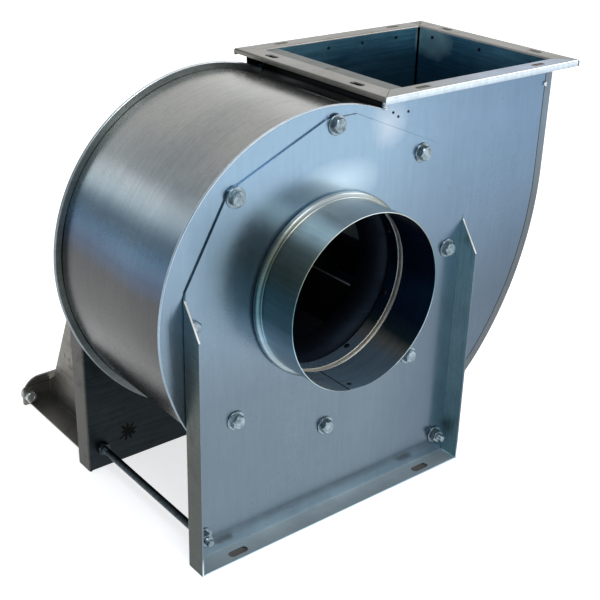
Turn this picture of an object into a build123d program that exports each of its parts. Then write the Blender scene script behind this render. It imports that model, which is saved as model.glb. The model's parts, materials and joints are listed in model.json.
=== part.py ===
from build123d import *
from math import acos, atan2, cos, degrees, radians, sin, sqrt
import os

os.makedirs("parts", exist_ok=True)

# Centrifugal exhaust fan in galvanised sheet steel, with the motor on the impeller's shaft, in millimetres.
# The drawing's origin lies on the impeller's axis, in the front face of the front support.
# +X is to the right of someone who looks into the inlet, +Y runs from the inlet to the motor, +Z is up.
# The files' origin lies in front of it, where the inlet tube leaves its bead.

# Sheet thicknesses
casing_sheet = 1.2
support_sheet = 2.0
tube_sheet = 1.0
flange_sheet = 1.5

# Supports
ground_clearance = 26.9
support_side_margin = 15.5
support_shift = 6.5
support_flange = 25.0
support_corner_height = 32.0
support_flange_top = -4.0
support_shoulder_margin = 12.863
support_shoulder_rise = 6.863
support_top_half_width = 19.5
support_top_margin = 6.0
base_slot_inset = 49.5
base_slot_depth = 13.0
base_slot_length = 22.0
base_slot_width = 9.0

# Scroll casing: three tangent arcs about the impeller, given for the outside of the wrap
casing_depth = 198.0
scroll_centre = (-9.3, -6.4)
scroll_gap = 37.0
scroll_growth_1 = 56.0
scroll_growth_2 = 87.5
scroll_joint_1 = 194.8
scroll_joint_2 = 323.3
seam_height = 8.0
seam_play = 0.3
duct_left = 67.0
outlet_rise = 12.4
service_gap = 8.0
motor_side_hole_radius = 75.0

# Cut-off plate at the left of the outlet
cutoff_lip = 18.0
cutoff_lip_drop = 3.0
cutoff_tab_angle = 7.0
cutoff_ear_width = 30.0
cutoff_ear_height = 28.0
cutoff_rivet_places = ((5.0, 22.0), (12.0, 27.0), (25.0, 24.0))

# Outlet flange
flange_front_leg = 22.0
flange_side_leg = 25.0
flange_lip = 8.0
flange_inner_leg = 14.0
flange_rivet_drop = 8.0
flange_slot_spacing_x = 165.0
flange_slot_spacing_y = 134.0
flange_slot_length = 18.0
flange_slot_width = 8.0

# Inlet
spigot_radius = 90.0
spigot_length = 54.0
spigot_tail = 14.0
bead_height = 5.4
bead_width = 8.0
spigot_play = 0.3
cone_flange_radius = 108.0
cone_throat_radius = 76.0
cone_length = 42.0
cone_curve_radius_share = 0.3
cone_curve_depth_share = 0.37
spigot_rivet_count = 8

# Impeller
impeller_radius = 140.0
impeller_eye_radius = 80.0
shroud_sheet = 1.5
disc_sheet = 2.0
blade_sheet = 1.5
blade_count = 10
blade_inlet_angle = 38.0
blade_outlet_angle = 45.0
blade_first_angle = -28.0
shroud_front = 40.0
shroud_collar = 8.0
shroud_rim_depth = 66.0
disc_depth = 130.0
blade_play = 0.15
blade_rim_inset = 1.0
shroud_curve_radius_share = 0.35
shroud_curve_depth_share = 0.6

# Hub
hub_flange_radius = 34.0
hub_flange_thickness = 5.0
hub_boss_radius = 17.0
hub_motor_gap = 13.0
hub_rivet_circle = 25.0
hub_rivet_count = 6
hub_bore_depth = 22.0
key_width = 4.0
key_height = 4.0
key_length = 14.0
key_inset = 4.0
key_play = 0.1
hub_nose = 6.0
hub_seat_play = 0.1
hub_hole_play = 0.2
retaining_radius = 2.5
retaining_flats = 8.0
retaining_head_height = 3.5
retaining_depth = 10.0
shaft_hole_depth = 12.0

# Motor
shaft_radius = 5.5
shaft_length = 23.0
shaft_running_play = 0.02
bearing_bore_radius = 6.0
bearing_outer_radius = 16.0
bearing_ring = 4.8
bearing_width = 10.0
bearing_seat_play = 0.05
front_bearing_inset = 4.0
rear_bearing_inset = 2.0
shaft_collar = 1.0
shaft_hole_play = 2.0
fan_shaft_radius = 5.0
rotor_shaft_radius = 9.0
motor_flange_radius = 70.0
motor_flange_thickness = 9.0
motor_spigot_radius = 47.5
motor_spigot_height = 3.0
motor_bolt_circle = 57.5
motor_bolt_count = 4
motor_bolt_first_angle = 45.0
motor_body_radius = 54.0
neck_clearance = 10.0
motor_wall = 5.0
motor_fin_height = 6.0
motor_fin_width = 2.4
motor_fin_count = 28
fin_foot = 1.0
pad_side_height = 45.0
motor_body_start = 20.0
motor_body_length = 106.0
rear_shield_thickness = 10.0
stator_length = 60.0
stator_start = 42.0
stator_thickness = 18.0
winding_inset = 4.0
winding_length = 12.0
rotor_ring = 2.0
air_gap = 0.4
cowl_sheet = 1.0
cowl_play = 0.3
cowl_overlap = 7.0
cowl_bevel = 8.0
cowl_slot_circle = 31.0
cowl_slot_length = 34.0
cowl_length = 56.0
cowl_slot_count = 12
cowl_slot_width = 5.0
cooling_fan_radius = 50.0
cooling_fan_width = 20.0
cooling_fan_gap = 6.0
cooling_hub_radius = 13.0
cooling_disc_radius = 36.0
cooling_sheet = 3.0
cooling_blade_count = 7
cooling_blade_foot = 1.0
terminal_box_width = 72.0
terminal_box_length = 62.0
terminal_box_height = 30.0
terminal_lid_height = 6.0
terminal_corner = 6.0
terminal_wall = 3.0
terminal_pad_height = 2.0
terminal_inset = 14.0
gland_radius = 9.0
gland_hexagon = 5.0
gland_length = 14.0
gland_bore_radius = 3.5
gland_neck_step = 1.5

# Rear braces and cross bar
brace_sheet = 2.0
brace_margin = 8.5
brace_depth = 174.0
brace_top = 60.0
brace_top_depth = 25.0
brace_foot_width = 28.0
brace_toe_height = 36.0
brace_toe_depth = 15.0
brace_tab_width = 24.0
brace_end_tab_width = 35.0
brace_end_tab_height = 24.0
brace_tab_rise = 46.0
brace_notch_height = 30.0
brace_clearance = 1.0
cross_bar_sheet = 3.0
cross_bar_height = 34.0
cross_bar_inset = 6.0
cross_bar_corner = 24.0
cross_bar_bolt_inset = 7.5
cross_bar_bolt_height = 11.0
cross_bar_stud = 5.0

# Tie rods
rod_radius = 4.0
rod_inset = 16.5
rod_height = 27.0
rod_end = 14.0

# Fasteners
bolt_radius = 4.0
bolt_flats = 13.0
hexagon_turn = 30.0
bolt_head_height = 5.3
nut_height = 6.5
thread_end = 1.0
washer_radius = 10.0
washer_thickness = 1.6
bolt_play = 0.4
thread_play = 0.05
casing_bolt_margin = 12.0
casing_bolt_count = 8
rivet_radius = 1.6
rivet_head_radius = 3.2
rivet_head_height = 1.1
rivet_seat = 0.15
brace_bolt_heights = (-100.0, -40.0, 40.0)

# The scroll clears the impeller and grows from arc to arc, and the bolts stand round the service hole.
scroll_radius_1 = impeller_radius + scroll_gap
scroll_radius_2 = scroll_radius_1 + scroll_growth_1
scroll_radius_3 = scroll_radius_2 + scroll_growth_2
outlet_top = scroll_centre[1] + scroll_radius_1 + outlet_rise
service_hole_radius = impeller_radius + service_gap
casing_bolt_circle = service_hole_radius + casing_bolt_margin

# The supports and what stands on them keep their margins round the casing bolts.
casing_bolt_angles = [360 * index / casing_bolt_count for index in range(casing_bolt_count)]
shoulder_bolt_angle = casing_bolt_angles[1]
support_half_width = casing_bolt_circle + support_side_margin
support_top = casing_bolt_circle + support_top_margin
support_shoulder_half_width = casing_bolt_circle * cos(radians(shoulder_bolt_angle)) + support_shoulder_margin
support_shoulder_height = casing_bolt_circle * sin(radians(shoulder_bolt_angle)) + support_shoulder_rise
base_slot_half_spacing = support_half_width - base_slot_inset
rod_half_spacing = support_half_width - rod_inset
brace_offset = support_shoulder_half_width + brace_margin
cross_bar_half_length = support_half_width - cross_bar_inset

# Places that follow from the sizes above
support_left = support_shift - support_half_width
support_right = support_shift + support_half_width
casing_front = support_sheet
casing_back = casing_front + casing_depth
inside_front = casing_front + casing_sheet
inside_back = casing_back - casing_sheet
rear_face = casing_back + support_sheet
wall_top = outlet_top - flange_sheet
bolt_hole_radius = bolt_radius + bolt_play
rivet_hole_radius = rivet_radius + thread_play


def at_depth(depth):
    """Drawing plane that faces the inlet, at a distance along +Y."""
    return Plane.XZ.offset(-depth)


def polar(radius, angle, centre=(0.0, 0.0)):
    """Point at a radius and an angle in degrees about a centre."""
    return (centre[0] + radius * cos(radians(angle)), centre[1] + radius * sin(radians(angle)))


def finish(piece, name):
    """Label a piece and write it to its own file."""
    placed = Pos(0, bead_width, 0) * piece.part
    placed.label = name
    export_step(placed, "parts/" + name + ".step")


# The centres of the second and third scroll arcs keep each arc tangent to the one before it.
centre_1 = scroll_centre
centre_2 = polar(scroll_radius_1 - scroll_radius_2, scroll_joint_1, centre_1)
centre_3 = polar(scroll_radius_2 - scroll_radius_3, scroll_joint_2, centre_2)
duct_right = centre_3[0] + scroll_radius_3 - casing_sheet
base = centre_2[1] - scroll_radius_2 - seam_height - ground_clearance
wrap_start = duct_left - casing_sheet


def start_angle(grow, start):
    """Angle about the first arc's centre at which the arc meets the outlet's left side."""
    return degrees(acos((start - centre_1[0]) / (scroll_radius_1 + grow)))


def scroll_curve(grow, start, top):
    """Scroll line grown outwards, from its start left of the outlet round to the outlet's right top."""
    first = start_angle(grow, start)
    turn = CenterArc(centre_1, scroll_radius_1 + grow, first, scroll_joint_1 - first)
    lower = CenterArc(centre_2, scroll_radius_2 + grow, scroll_joint_1, scroll_joint_2 - scroll_joint_1)
    rise = CenterArc(centre_3, scroll_radius_3 + grow, scroll_joint_2, 360 - scroll_joint_2)
    wall = Line(rise @ 1, (centre_3[0] + scroll_radius_3 + grow, top))
    return turn @ 0, wall @ 1


def scroll_face(grow, start, top):
    """Filled scroll outline, closed along the outlet's left side and top."""
    with BuildLine() as outline:
        low, high = scroll_curve(grow, start, top)
        Polyline(low, (low.X, top), high)
    make_face(outline.edges())


def scroll_band(inner, outer, start, top):
    """Strip that follows the scroll line between two growths."""
    with BuildLine() as outline:
        low_in, high_in = scroll_curve(inner, start, top)
        low_out, high_out = scroll_curve(outer, start, top)
        Line(low_in, low_out)
        Line(high_in, high_out)
    make_face(outline.edges())


casing_bolt_spots = [polar(casing_bolt_circle, angle) for angle in casing_bolt_angles]
washer_spots = [spot for spot in casing_bolt_spots
                if spot[0] - washer_radius > support_left + support_sheet
                and spot[0] + washer_radius < support_right - support_sheet]

brace_spots = [(support_shift + side * (brace_offset + brace_tab_width / 2), height)
               for side in (-1, 1) for height in brace_bolt_heights]

# Rivets that hold the outlet flange: heights, and places along each side
duct_width = duct_right - duct_left
duct_depth = inside_back - inside_front
duct_mid_x = (duct_left + duct_right) / 2
duct_mid_y = (inside_front + inside_back) / 2
flange_rivet_height = wall_top - flange_rivet_drop
flange_rivet_places_x = [duct_mid_x + duct_width * share for share in (-0.34, -0.11, 0.11, 0.34)]
flange_rivet_places_y = [duct_mid_y + duct_depth * share for share in (-0.38, 0.0, 0.38)]
cutoff_rivet_spots = [(duct_left + x, wall_top - z) for x, z in cutoff_rivet_places]


def side_plate(outer, direction, hole_radius, bolt_spots):
    """Scroll side plate whose hemmed edge grips the wrap's standing flange."""
    def plane(step):
        return at_depth(outer + direction * step)

    with BuildPart() as plate:
        with BuildSketch(plane(0)):
            scroll_face(seam_height, wrap_start - seam_height, wall_top)
            Circle(hole_radius, mode=Mode.SUBTRACT)
            with Locations(*bolt_spots):
                Circle(bolt_hole_radius, mode=Mode.SUBTRACT)
            with Locations(*[(x, flange_rivet_height) for x in flange_rivet_places_x]):
                Circle(rivet_hole_radius, mode=Mode.SUBTRACT)
            with Locations(*cutoff_rivet_spots):
                Circle(rivet_hole_radius, mode=Mode.SUBTRACT)
        extrude(amount=-direction * casing_sheet)
        with BuildSketch(plane(casing_sheet)):
            scroll_band(seam_height - casing_sheet, seam_height, wrap_start - seam_height, wall_top)
        extrude(amount=-direction * 2 * casing_sheet)
        with BuildSketch(plane(2 * casing_sheet)):
            scroll_band(seam_play, seam_height, wrap_start - seam_height, wall_top)
        extrude(amount=-direction * casing_sheet)
    return plate


front_side_plate = side_plate(casing_front, 1, service_hole_radius, casing_bolt_spots)
finish(front_side_plate, "front_side_plate")
rear_side_plate = side_plate(casing_back, -1, motor_side_hole_radius, casing_bolt_spots + brace_spots)
finish(rear_side_plate, "rear_side_plate")

# Scroll wrap: one curved strip with a flange that stands out along each edge
wrap_flange = seam_height - casing_sheet - seam_play
with BuildPart() as scroll_wrap:
    with BuildSketch(at_depth(inside_front)):
        scroll_band(-casing_sheet, 0, wrap_start - seam_play, wall_top)
    extrude(amount=-(inside_back - inside_front))
    with BuildSketch(at_depth(inside_front)):
        scroll_band(0, wrap_flange, wrap_start - seam_play, wall_top)
    extrude(amount=-casing_sheet)
    with BuildSketch(at_depth(inside_back)):
        scroll_band(0, wrap_flange, wrap_start - seam_play, wall_top)
    extrude(amount=casing_sheet)
    with BuildSketch(Plane.YZ.offset(duct_right - casing_sheet)):
        with Locations(*[(y, flange_rivet_height) for y in flange_rivet_places_y]):
            Circle(rivet_hole_radius)
    extrude(amount=3 * casing_sheet, mode=Mode.SUBTRACT)
finish(scroll_wrap, "scroll_wrap")

# Cut-off plate: wall at the left of the outlet, a lip into the outlet, a tab under the wrap and two ears
tab_outer = scroll_radius_1 - casing_sheet - seam_play
tab_start = degrees(acos((duct_left - centre_1[0]) / tab_outer))
wall_foot = polar(tab_outer - casing_sheet, tab_start, centre_1)[1]
lip_level = wall_top - cutoff_lip_drop
with BuildPart() as cutoff_plate:
    with BuildSketch(at_depth(inside_front)):
        with BuildLine():
            outside = CenterArc(centre_1, tab_outer, tab_start, cutoff_tab_angle)
            inside = CenterArc(centre_1, tab_outer - casing_sheet, tab_start, cutoff_tab_angle)
            Line(outside @ 0, inside @ 0)
            Line(outside @ 1, inside @ 1)
        make_face()
        with BuildLine():
            Polyline((wrap_start, wall_foot), (wrap_start, wall_top), (duct_left, wall_top),
                     (duct_left, lip_level), (duct_left + cutoff_lip, lip_level),
                     (duct_left + cutoff_lip, lip_level - casing_sheet),
                     (duct_left, lip_level - casing_sheet), (duct_left, wall_foot),
                     (wrap_start, wall_foot))
        make_face()
    extrude(amount=-(inside_back - inside_front))
    for depth, direction in ((inside_front, 1), (inside_back, -1)):
        with BuildSketch(at_depth(depth)):
            with Locations((duct_left, lip_level - casing_sheet)):
                Rectangle(cutoff_ear_width, cutoff_ear_height, align=(Align.MIN, Align.MAX))
            with Locations(*cutoff_rivet_spots):
                Circle(rivet_hole_radius, mode=Mode.SUBTRACT)
        extrude(amount=-direction * casing_sheet)
    with BuildSketch(Plane.YZ.offset(wrap_start - casing_sheet)):
        with Locations(*[(y, flange_rivet_height) for y in flange_rivet_places_y]):
            Circle(rivet_hole_radius)
    extrude(amount=3 * casing_sheet, mode=Mode.SUBTRACT)
finish(cutoff_plate, "cutoff_plate")

# Outlet flange: four folded strips mitred at the corners
flange_left = duct_left - flange_side_leg
flange_right = duct_right + flange_side_leg
flange_front = inside_front - flange_front_leg
flange_back = inside_back + flange_front_leg


def flange_strip(inner_ends, outer_ends, leg_box, lip_box, slots, turn, holes, drill):
    """Folded strip: mitred top leg, lip down its outer edge and leg down the duct's outside."""
    with BuildPart() as strip:
        with BuildSketch(Plane.XY.offset(wall_top)):
            with BuildLine():
                Polyline(inner_ends[0], inner_ends[1], outer_ends[1], outer_ends[0], inner_ends[0])
            make_face()
            with Locations(*slots):
                SlotOverall(flange_slot_length, flange_slot_width, rotation=turn, mode=Mode.SUBTRACT)
        extrude(amount=flange_sheet)
        lip_height = flange_lip - flange_sheet
        for (low_x, low_y, high_x, high_y), height in ((leg_box, flange_inner_leg), (lip_box, lip_height)):
            with BuildSketch(Plane.XY.offset(wall_top)):
                with Locations((low_x, low_y)):
                    Rectangle(high_x - low_x, high_y - low_y, align=(Align.MIN, Align.MIN))
            extrude(amount=-height)
        with BuildSketch(drill):
            with Locations(*holes):
                Circle(rivet_hole_radius)
        extrude(amount=2 * flange_sheet, both=True, mode=Mode.SUBTRACT)
    return strip


slot_x = (duct_mid_x - flange_slot_spacing_x / 2, duct_mid_x + flange_slot_spacing_x / 2)
slot_y = (duct_mid_y - flange_slot_spacing_y / 2, duct_mid_y + flange_slot_spacing_y / 2)
front_slot_depth = flange_front + flange_front_leg / 2 - flange_sheet
back_slot_depth = flange_back - flange_front_leg / 2 + flange_sheet
left_slot_place = flange_left + flange_side_leg / 2 - flange_sheet
right_slot_place = flange_right - flange_side_leg / 2 + flange_sheet
leg_low_x = wrap_start - seam_height
leg_high_x = duct_right + casing_sheet + seam_height
leg_low_y = casing_front + 3 * casing_sheet + seam_play
leg_high_y = casing_back - 3 * casing_sheet - seam_play

outlet_flange_front = flange_strip(
    ((duct_left, inside_front), (duct_right, inside_front)),
    ((flange_left, flange_front), (flange_right, flange_front)),
    (leg_low_x, casing_front - flange_sheet, leg_high_x, casing_front),
    (flange_left, flange_front, flange_right, flange_front + flange_sheet),
    [(x, front_slot_depth) for x in slot_x], 0,
    [(x, flange_rivet_height) for x in flange_rivet_places_x], at_depth(casing_front))
finish(outlet_flange_front, "outlet_flange_front")
outlet_flange_rear = flange_strip(
    ((duct_left, inside_back), (duct_right, inside_back)),
    ((flange_left, flange_back), (flange_right, flange_back)),
    (leg_low_x, casing_back, leg_high_x, casing_back + flange_sheet),
    (flange_left, flange_back - flange_sheet, flange_right, flange_back),
    [(x, back_slot_depth) for x in slot_x], 0,
    [(x, flange_rivet_height) for x in flange_rivet_places_x], at_depth(casing_back))
finish(outlet_flange_rear, "outlet_flange_rear")
outlet_flange_left = flange_strip(
    ((duct_left, inside_front), (duct_left, inside_back)),
    ((flange_left, flange_front), (flange_left, flange_back)),
    (wrap_start - flange_sheet, leg_low_y, wrap_start, leg_high_y),
    (flange_left, flange_front + flange_sheet, flange_left + flange_sheet, flange_back - flange_sheet),
    [(left_slot_place, y) for y in slot_y], 90,
    [(y, flange_rivet_height) for y in flange_rivet_places_y], Plane.YZ.offset(wrap_start))
finish(outlet_flange_left, "outlet_flange_left")
outlet_flange_right = flange_strip(
    ((duct_right, inside_front), (duct_right, inside_back)),
    ((flange_right, flange_front), (flange_right, flange_back)),
    (duct_right + casing_sheet, leg_low_y, duct_right + casing_sheet + flange_sheet, leg_high_y),
    (flange_right - flange_sheet, flange_front + flange_sheet, flange_right, flange_back - flange_sheet),
    [(right_slot_place, y) for y in slot_y], 90,
    [(y, flange_rivet_height) for y in flange_rivet_places_y], Plane.YZ.offset(duct_right))
finish(outlet_flange_right, "outlet_flange_right")


def discs(plane, spots, radius, amount):
    """Round solids on a plane, one at each spot."""
    with BuildSketch(plane) as profile:
        with Locations(*spots):
            Circle(radius)
    extrude(profile.sketch, amount=amount)


def rivet(plane, spots, grip):
    """Rivets through a grip that runs from a plane along its normal, with a head at both ends."""
    discs(plane, spots, rivet_radius, grip)
    discs(plane, spots, rivet_head_radius, -rivet_head_height)
    discs(plane.offset(grip), spots, rivet_head_radius, rivet_head_height)


front_rivets = [(x, flange_rivet_height) for x in flange_rivet_places_x]
side_rivets = [(y, flange_rivet_height) for y in flange_rivet_places_y]
with BuildPart() as casing_rivets:
    rivet(at_depth(inside_front), front_rivets, casing_sheet + flange_sheet)
    rivet(at_depth(casing_back + flange_sheet), front_rivets, casing_sheet + flange_sheet)
    rivet(Plane.YZ.offset(wrap_start - flange_sheet), side_rivets, casing_sheet + flange_sheet)
    rivet(Plane.YZ.offset(duct_right), side_rivets, casing_sheet + flange_sheet)
    rivet(at_depth(inside_front + casing_sheet), cutoff_rivet_spots, 2 * casing_sheet)
    rivet(at_depth(casing_back), cutoff_rivet_spots, 2 * casing_sheet)
finish(casing_rivets, "casing_rivets")

# Supports: plate with folded sides and foot
rod_spots = [(support_shift - rod_half_spacing, base + rod_height),
             (support_shift + rod_half_spacing, base + rod_height)]


def support(face, direction, hole_radius, extra_spots):
    """Support plate whose side flanges and foot fold away from the casing."""
    with BuildPart() as plate:
        with BuildSketch(at_depth(face)):
            with BuildLine():
                Polyline((support_left, base), (support_left, support_corner_height),
                         (support_shift - support_shoulder_half_width, support_shoulder_height),
                         (support_shift - support_top_half_width, support_top),
                         (support_shift + support_top_half_width, support_top),
                         (support_shift + support_shoulder_half_width, support_shoulder_height),
                         (support_right, support_corner_height), (support_right, base),
                         (support_left, base))
            make_face()
            Circle(hole_radius, mode=Mode.SUBTRACT)
            with Locations(*(casing_bolt_spots + rod_spots + extra_spots)):
                Circle(bolt_hole_radius, mode=Mode.SUBTRACT)
        extrude(amount=direction * support_sheet)
        outer = face + direction * (support_flange - support_sheet)
        for edge in (support_left, support_right - support_sheet):
            with BuildSketch(Plane.YZ.offset(edge)):
                with BuildLine():
                    Polyline((face, base), (outer, base), (outer, support_flange_top),
                             (face, support_corner_height), (face, base))
                make_face()
            extrude(amount=support_sheet)
        with BuildSketch(Plane.XY.offset(base)):
            with Locations((support_shift, (face + outer) / 2)):
                Rectangle(2 * support_half_width, abs(outer - face))
            slot_depth = face + direction * base_slot_depth
            with Locations((support_shift - base_slot_half_spacing, slot_depth),
                           (support_shift + base_slot_half_spacing, slot_depth)):
                SlotOverall(base_slot_length, base_slot_width, mode=Mode.SUBTRACT)
        extrude(amount=support_sheet)
    return plate


front_support = support(0, -1, spigot_radius + spigot_play, [])
finish(front_support, "front_support")
motor_bolt_spots = [polar(motor_bolt_circle, motor_bolt_first_angle + 360 * index / motor_bolt_count)
                    for index in range(motor_bolt_count)]
rear_support = support(rear_face, 1, motor_spigot_radius + seam_play, brace_spots + motor_bolt_spots)
finish(rear_support, "rear_support")

# Casing bolts, washers and nuts, at the front and at the rear

def heads(plane, spots, amount, flats=bolt_flats, bore=0):
    """Hexagons on a plane, bored through where they are nuts."""
    with BuildSketch(plane) as profile:
        with Locations(*spots):
            RegularPolygon(flats / 2, 6, major_radius=False, rotation=hexagon_turn)
            if bore:
                Circle(bore, mode=Mode.SUBTRACT)
    extrude(profile.sketch, amount=amount)


def nuts(plane, spots, amount):
    """Nuts on a plane."""
    heads(plane, spots, amount, bore=bolt_radius)


def washers(plane, spots, amount):
    """Washers on a plane."""
    with BuildSketch(plane) as profile:
        with Locations(*spots):
            Circle(washer_radius)
            Circle(bolt_hole_radius, mode=Mode.SUBTRACT)
    extrude(profile.sketch, amount=amount)


def bolts(plane, spots, grip, seat=0.0):
    """Hexagon bolts whose heads stand on a plane or a seat above it, and whose shanks run back through it."""
    heads(plane.offset(seat), spots, bolt_head_height)
    discs(plane.offset(seat), spots, bolt_radius - thread_play, -(grip + seat))


def on_plane(plane, spots):
    """Spots given as x and height, as a plane square to the impeller's axis counts them."""
    return [(x, plane.to_local_coords(Vector(x, 0, z)).Y) for x, z in spots]


bolt_grip = support_sheet + casing_sheet + nut_height + thread_end
front_outside = at_depth(0)
rear_outside = Plane(origin=(0, rear_face, 0), x_dir=(1, 0, 0), z_dir=(0, 1, 0))
with BuildPart() as casing_bolts:
    for outside in (front_outside, rear_outside):
        for spot in casing_bolt_spots:
            seat = washer_thickness if spot in washer_spots else 0.0
            bolts(outside, on_plane(outside, [spot]), bolt_grip, seat)
finish(casing_bolts, "casing_bolts")

with BuildPart() as casing_washers:
    washers(at_depth(0), washer_spots, washer_thickness)
    washers(at_depth(rear_face), washer_spots, -washer_thickness)
finish(casing_washers, "casing_washers")

with BuildPart() as casing_nuts:
    nuts(at_depth(inside_front), casing_bolt_spots, -nut_height)
    nuts(at_depth(inside_back), casing_bolt_spots, nut_height)
finish(casing_nuts, "casing_nuts")

# Tie rods between the two supports
for name, spot in (("left_tie_rod", rod_spots[0]), ("right_tie_rod", rod_spots[1])):
    with BuildPart() as tie_rod:
        with BuildSketch(at_depth(-rod_end)):
            with Locations(spot):
                Circle(rod_radius - thread_play)
        extrude(amount=-(rear_face + 2 * rod_end))
        chamfer(tie_rod.edges().filter_by(GeomType.CIRCLE), length=0.8)
    finish(tie_rod, name)

with BuildPart() as tie_rod_washers:
    washers(at_depth(0), rod_spots, washer_thickness)
    washers(at_depth(rear_face), rod_spots, -washer_thickness)
finish(tie_rod_washers, "tie_rod_washers")

with BuildPart() as tie_rod_nuts:
    nuts(at_depth(-washer_thickness), rod_spots, nut_height)
    nuts(at_depth(support_sheet), rod_spots, -nut_height)
    nuts(at_depth(casing_back), rod_spots, nut_height)
    nuts(at_depth(rear_face + washer_thickness), rod_spots, -nut_height)
finish(tie_rod_nuts, "tie_rod_nuts")

# Inlet spigot: tube with a rolled bead that bears on the front support
spigot_bore = spigot_radius - tube_sheet
bead_root = spigot_radius + bead_height - bead_width / 2
collar_radius = spigot_radius + spigot_play
collar_end = spigot_tail + support_sheet
spigot_rivet_depth = (inside_front + collar_end) / 2
spigot_rivet_angles = [360 * (index + 0.5) / spigot_rivet_count for index in range(spigot_rivet_count)]


def radial_plane(angle, radius, depth):
    """Plane square to the radius at an angle, at a radius and a depth."""
    outward = (cos(radians(angle)), 0, sin(radians(angle)))
    origin = (radius * outward[0], depth, radius * outward[2])
    return Plane(origin=origin, x_dir=(0, 1, 0), z_dir=outward)


with BuildPart() as inlet_spigot:
    with BuildSketch(Plane.XY):
        with BuildLine():
            Polyline((spigot_radius, -spigot_length), (spigot_radius, -bead_width), (bead_root, -bead_width))
            ThreePointArc((bead_root, -bead_width), (bead_root + bead_width / 2, -bead_width / 2),
                          (bead_root, 0))
            Polyline((bead_root, 0), (spigot_radius, 0), (spigot_radius, spigot_tail),
                     (spigot_bore, spigot_tail), (spigot_bore, -tube_sheet), (bead_root, -tube_sheet))
            ThreePointArc((bead_root, -tube_sheet),
                          (bead_root + bead_width / 2 - tube_sheet, -bead_width / 2),
                          (bead_root, tube_sheet - bead_width))
            Polyline((bead_root, tube_sheet - bead_width), (spigot_bore, tube_sheet - bead_width),
                     (spigot_bore, -spigot_length), (spigot_radius, -spigot_length))
        make_face()
    revolve(axis=Axis.Y)
    for angle in spigot_rivet_angles:
        with BuildSketch(radial_plane(angle, 0, spigot_rivet_depth)):
            Circle(rivet_hole_radius)
        extrude(amount=spigot_radius + bead_height, mode=Mode.SUBTRACT)
finish(inlet_spigot, "inlet_spigot")

# Inlet cone: collar round the spigot's tail, a flange on the support and a bell mouth
cone_lip = cone_throat_radius + casing_sheet
cone_end = support_sheet + cone_length
cone_curve = (cone_throat_radius + (collar_radius - cone_throat_radius) * cone_curve_radius_share,
              collar_end + (cone_end - collar_end) * cone_curve_depth_share)
with BuildPart() as inlet_cone:
    with BuildSketch(Plane.XY):
        with BuildLine():
            Polyline((collar_radius, collar_end), (collar_radius, support_sheet),
                     (cone_flange_radius, support_sheet), (cone_flange_radius, inside_front),
                     (collar_radius + casing_sheet, inside_front),
                     (collar_radius + casing_sheet, collar_end))
            ThreePointArc((collar_radius + casing_sheet, collar_end),
                          (cone_curve[0] + casing_sheet, cone_curve[1] + casing_sheet / 2),
                          (cone_lip, cone_end))
            Line((cone_lip, cone_end), (cone_throat_radius, cone_end))
            ThreePointArc((cone_throat_radius, cone_end), cone_curve, (collar_radius, collar_end))
        make_face()
    revolve(axis=Axis.Y)
    for angle in spigot_rivet_angles:
        with BuildSketch(radial_plane(angle, 0, spigot_rivet_depth)):
            Circle(rivet_hole_radius)
        extrude(amount=cone_flange_radius, mode=Mode.SUBTRACT)
finish(inlet_cone, "inlet_cone")


def ring_profile(points):
    """Closed profile of a turned piece, given as radius and depth."""
    with BuildSketch(Plane.XY) as profile:
        with BuildLine():
            Polyline(*points, close=True)
        make_face()
    return profile.sketch


def turned(points):
    """Turned piece about the impeller's axis."""
    revolve(ring_profile(points), axis=Axis.Y)


def tube(inner, outer, start, end):
    """Plain ring about the impeller's axis."""
    turned([(inner, start), (outer, start), (outer, end), (inner, end)])


# Spigot rivets, through the spigot's tail and the cone's collar
with BuildPart() as spigot_rivets:
    for angle in spigot_rivet_angles:
        under_head = radial_plane(angle, spigot_bore - rivet_seat, spigot_rivet_depth)
        rivet(under_head, [(0, 0)], collar_radius + casing_sheet - spigot_bore + 2 * rivet_seat)
finish(spigot_rivets, "spigot_rivets")

# Impeller
disc_back = disc_depth + disc_sheet
with BuildPart() as back_disc:
    with BuildSketch(at_depth(disc_depth)):
        Circle(impeller_radius)
        Circle(hub_boss_radius + hub_seat_play, mode=Mode.SUBTRACT)
        with PolarLocations(hub_rivet_circle, hub_rivet_count):
            Circle(rivet_hole_radius, mode=Mode.SUBTRACT)
    extrude(amount=-disc_sheet)
finish(back_disc, "back_disc")

shroud_mid = (impeller_eye_radius + (impeller_radius - impeller_eye_radius) * shroud_curve_radius_share,
              shroud_front + shroud_collar
              + (shroud_rim_depth - shroud_front - shroud_collar) * shroud_curve_depth_share)
shroud_turn = (impeller_eye_radius, shroud_front + shroud_collar)
shroud_rim = (impeller_radius, shroud_rim_depth)
with BuildPart() as shroud_ring:
    with BuildSketch(Plane.XY):
        with BuildLine():
            Polyline((impeller_radius, shroud_rim_depth), (impeller_radius, shroud_rim_depth - shroud_sheet))
            ThreePointArc((impeller_radius, shroud_rim_depth - shroud_sheet),
                          (shroud_mid[0] + shroud_sheet, shroud_mid[1] - shroud_sheet),
                          (impeller_eye_radius + shroud_sheet, shroud_front + shroud_collar))
            Polyline((impeller_eye_radius + shroud_sheet, shroud_front + shroud_collar),
                     (impeller_eye_radius + shroud_sheet, shroud_front), (impeller_eye_radius, shroud_front),
                     shroud_turn)
            ThreePointArc(shroud_turn, shroud_mid, shroud_rim)
        make_face()
    revolve(axis=Axis.Y)
finish(shroud_ring, "shroud_ring")

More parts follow.
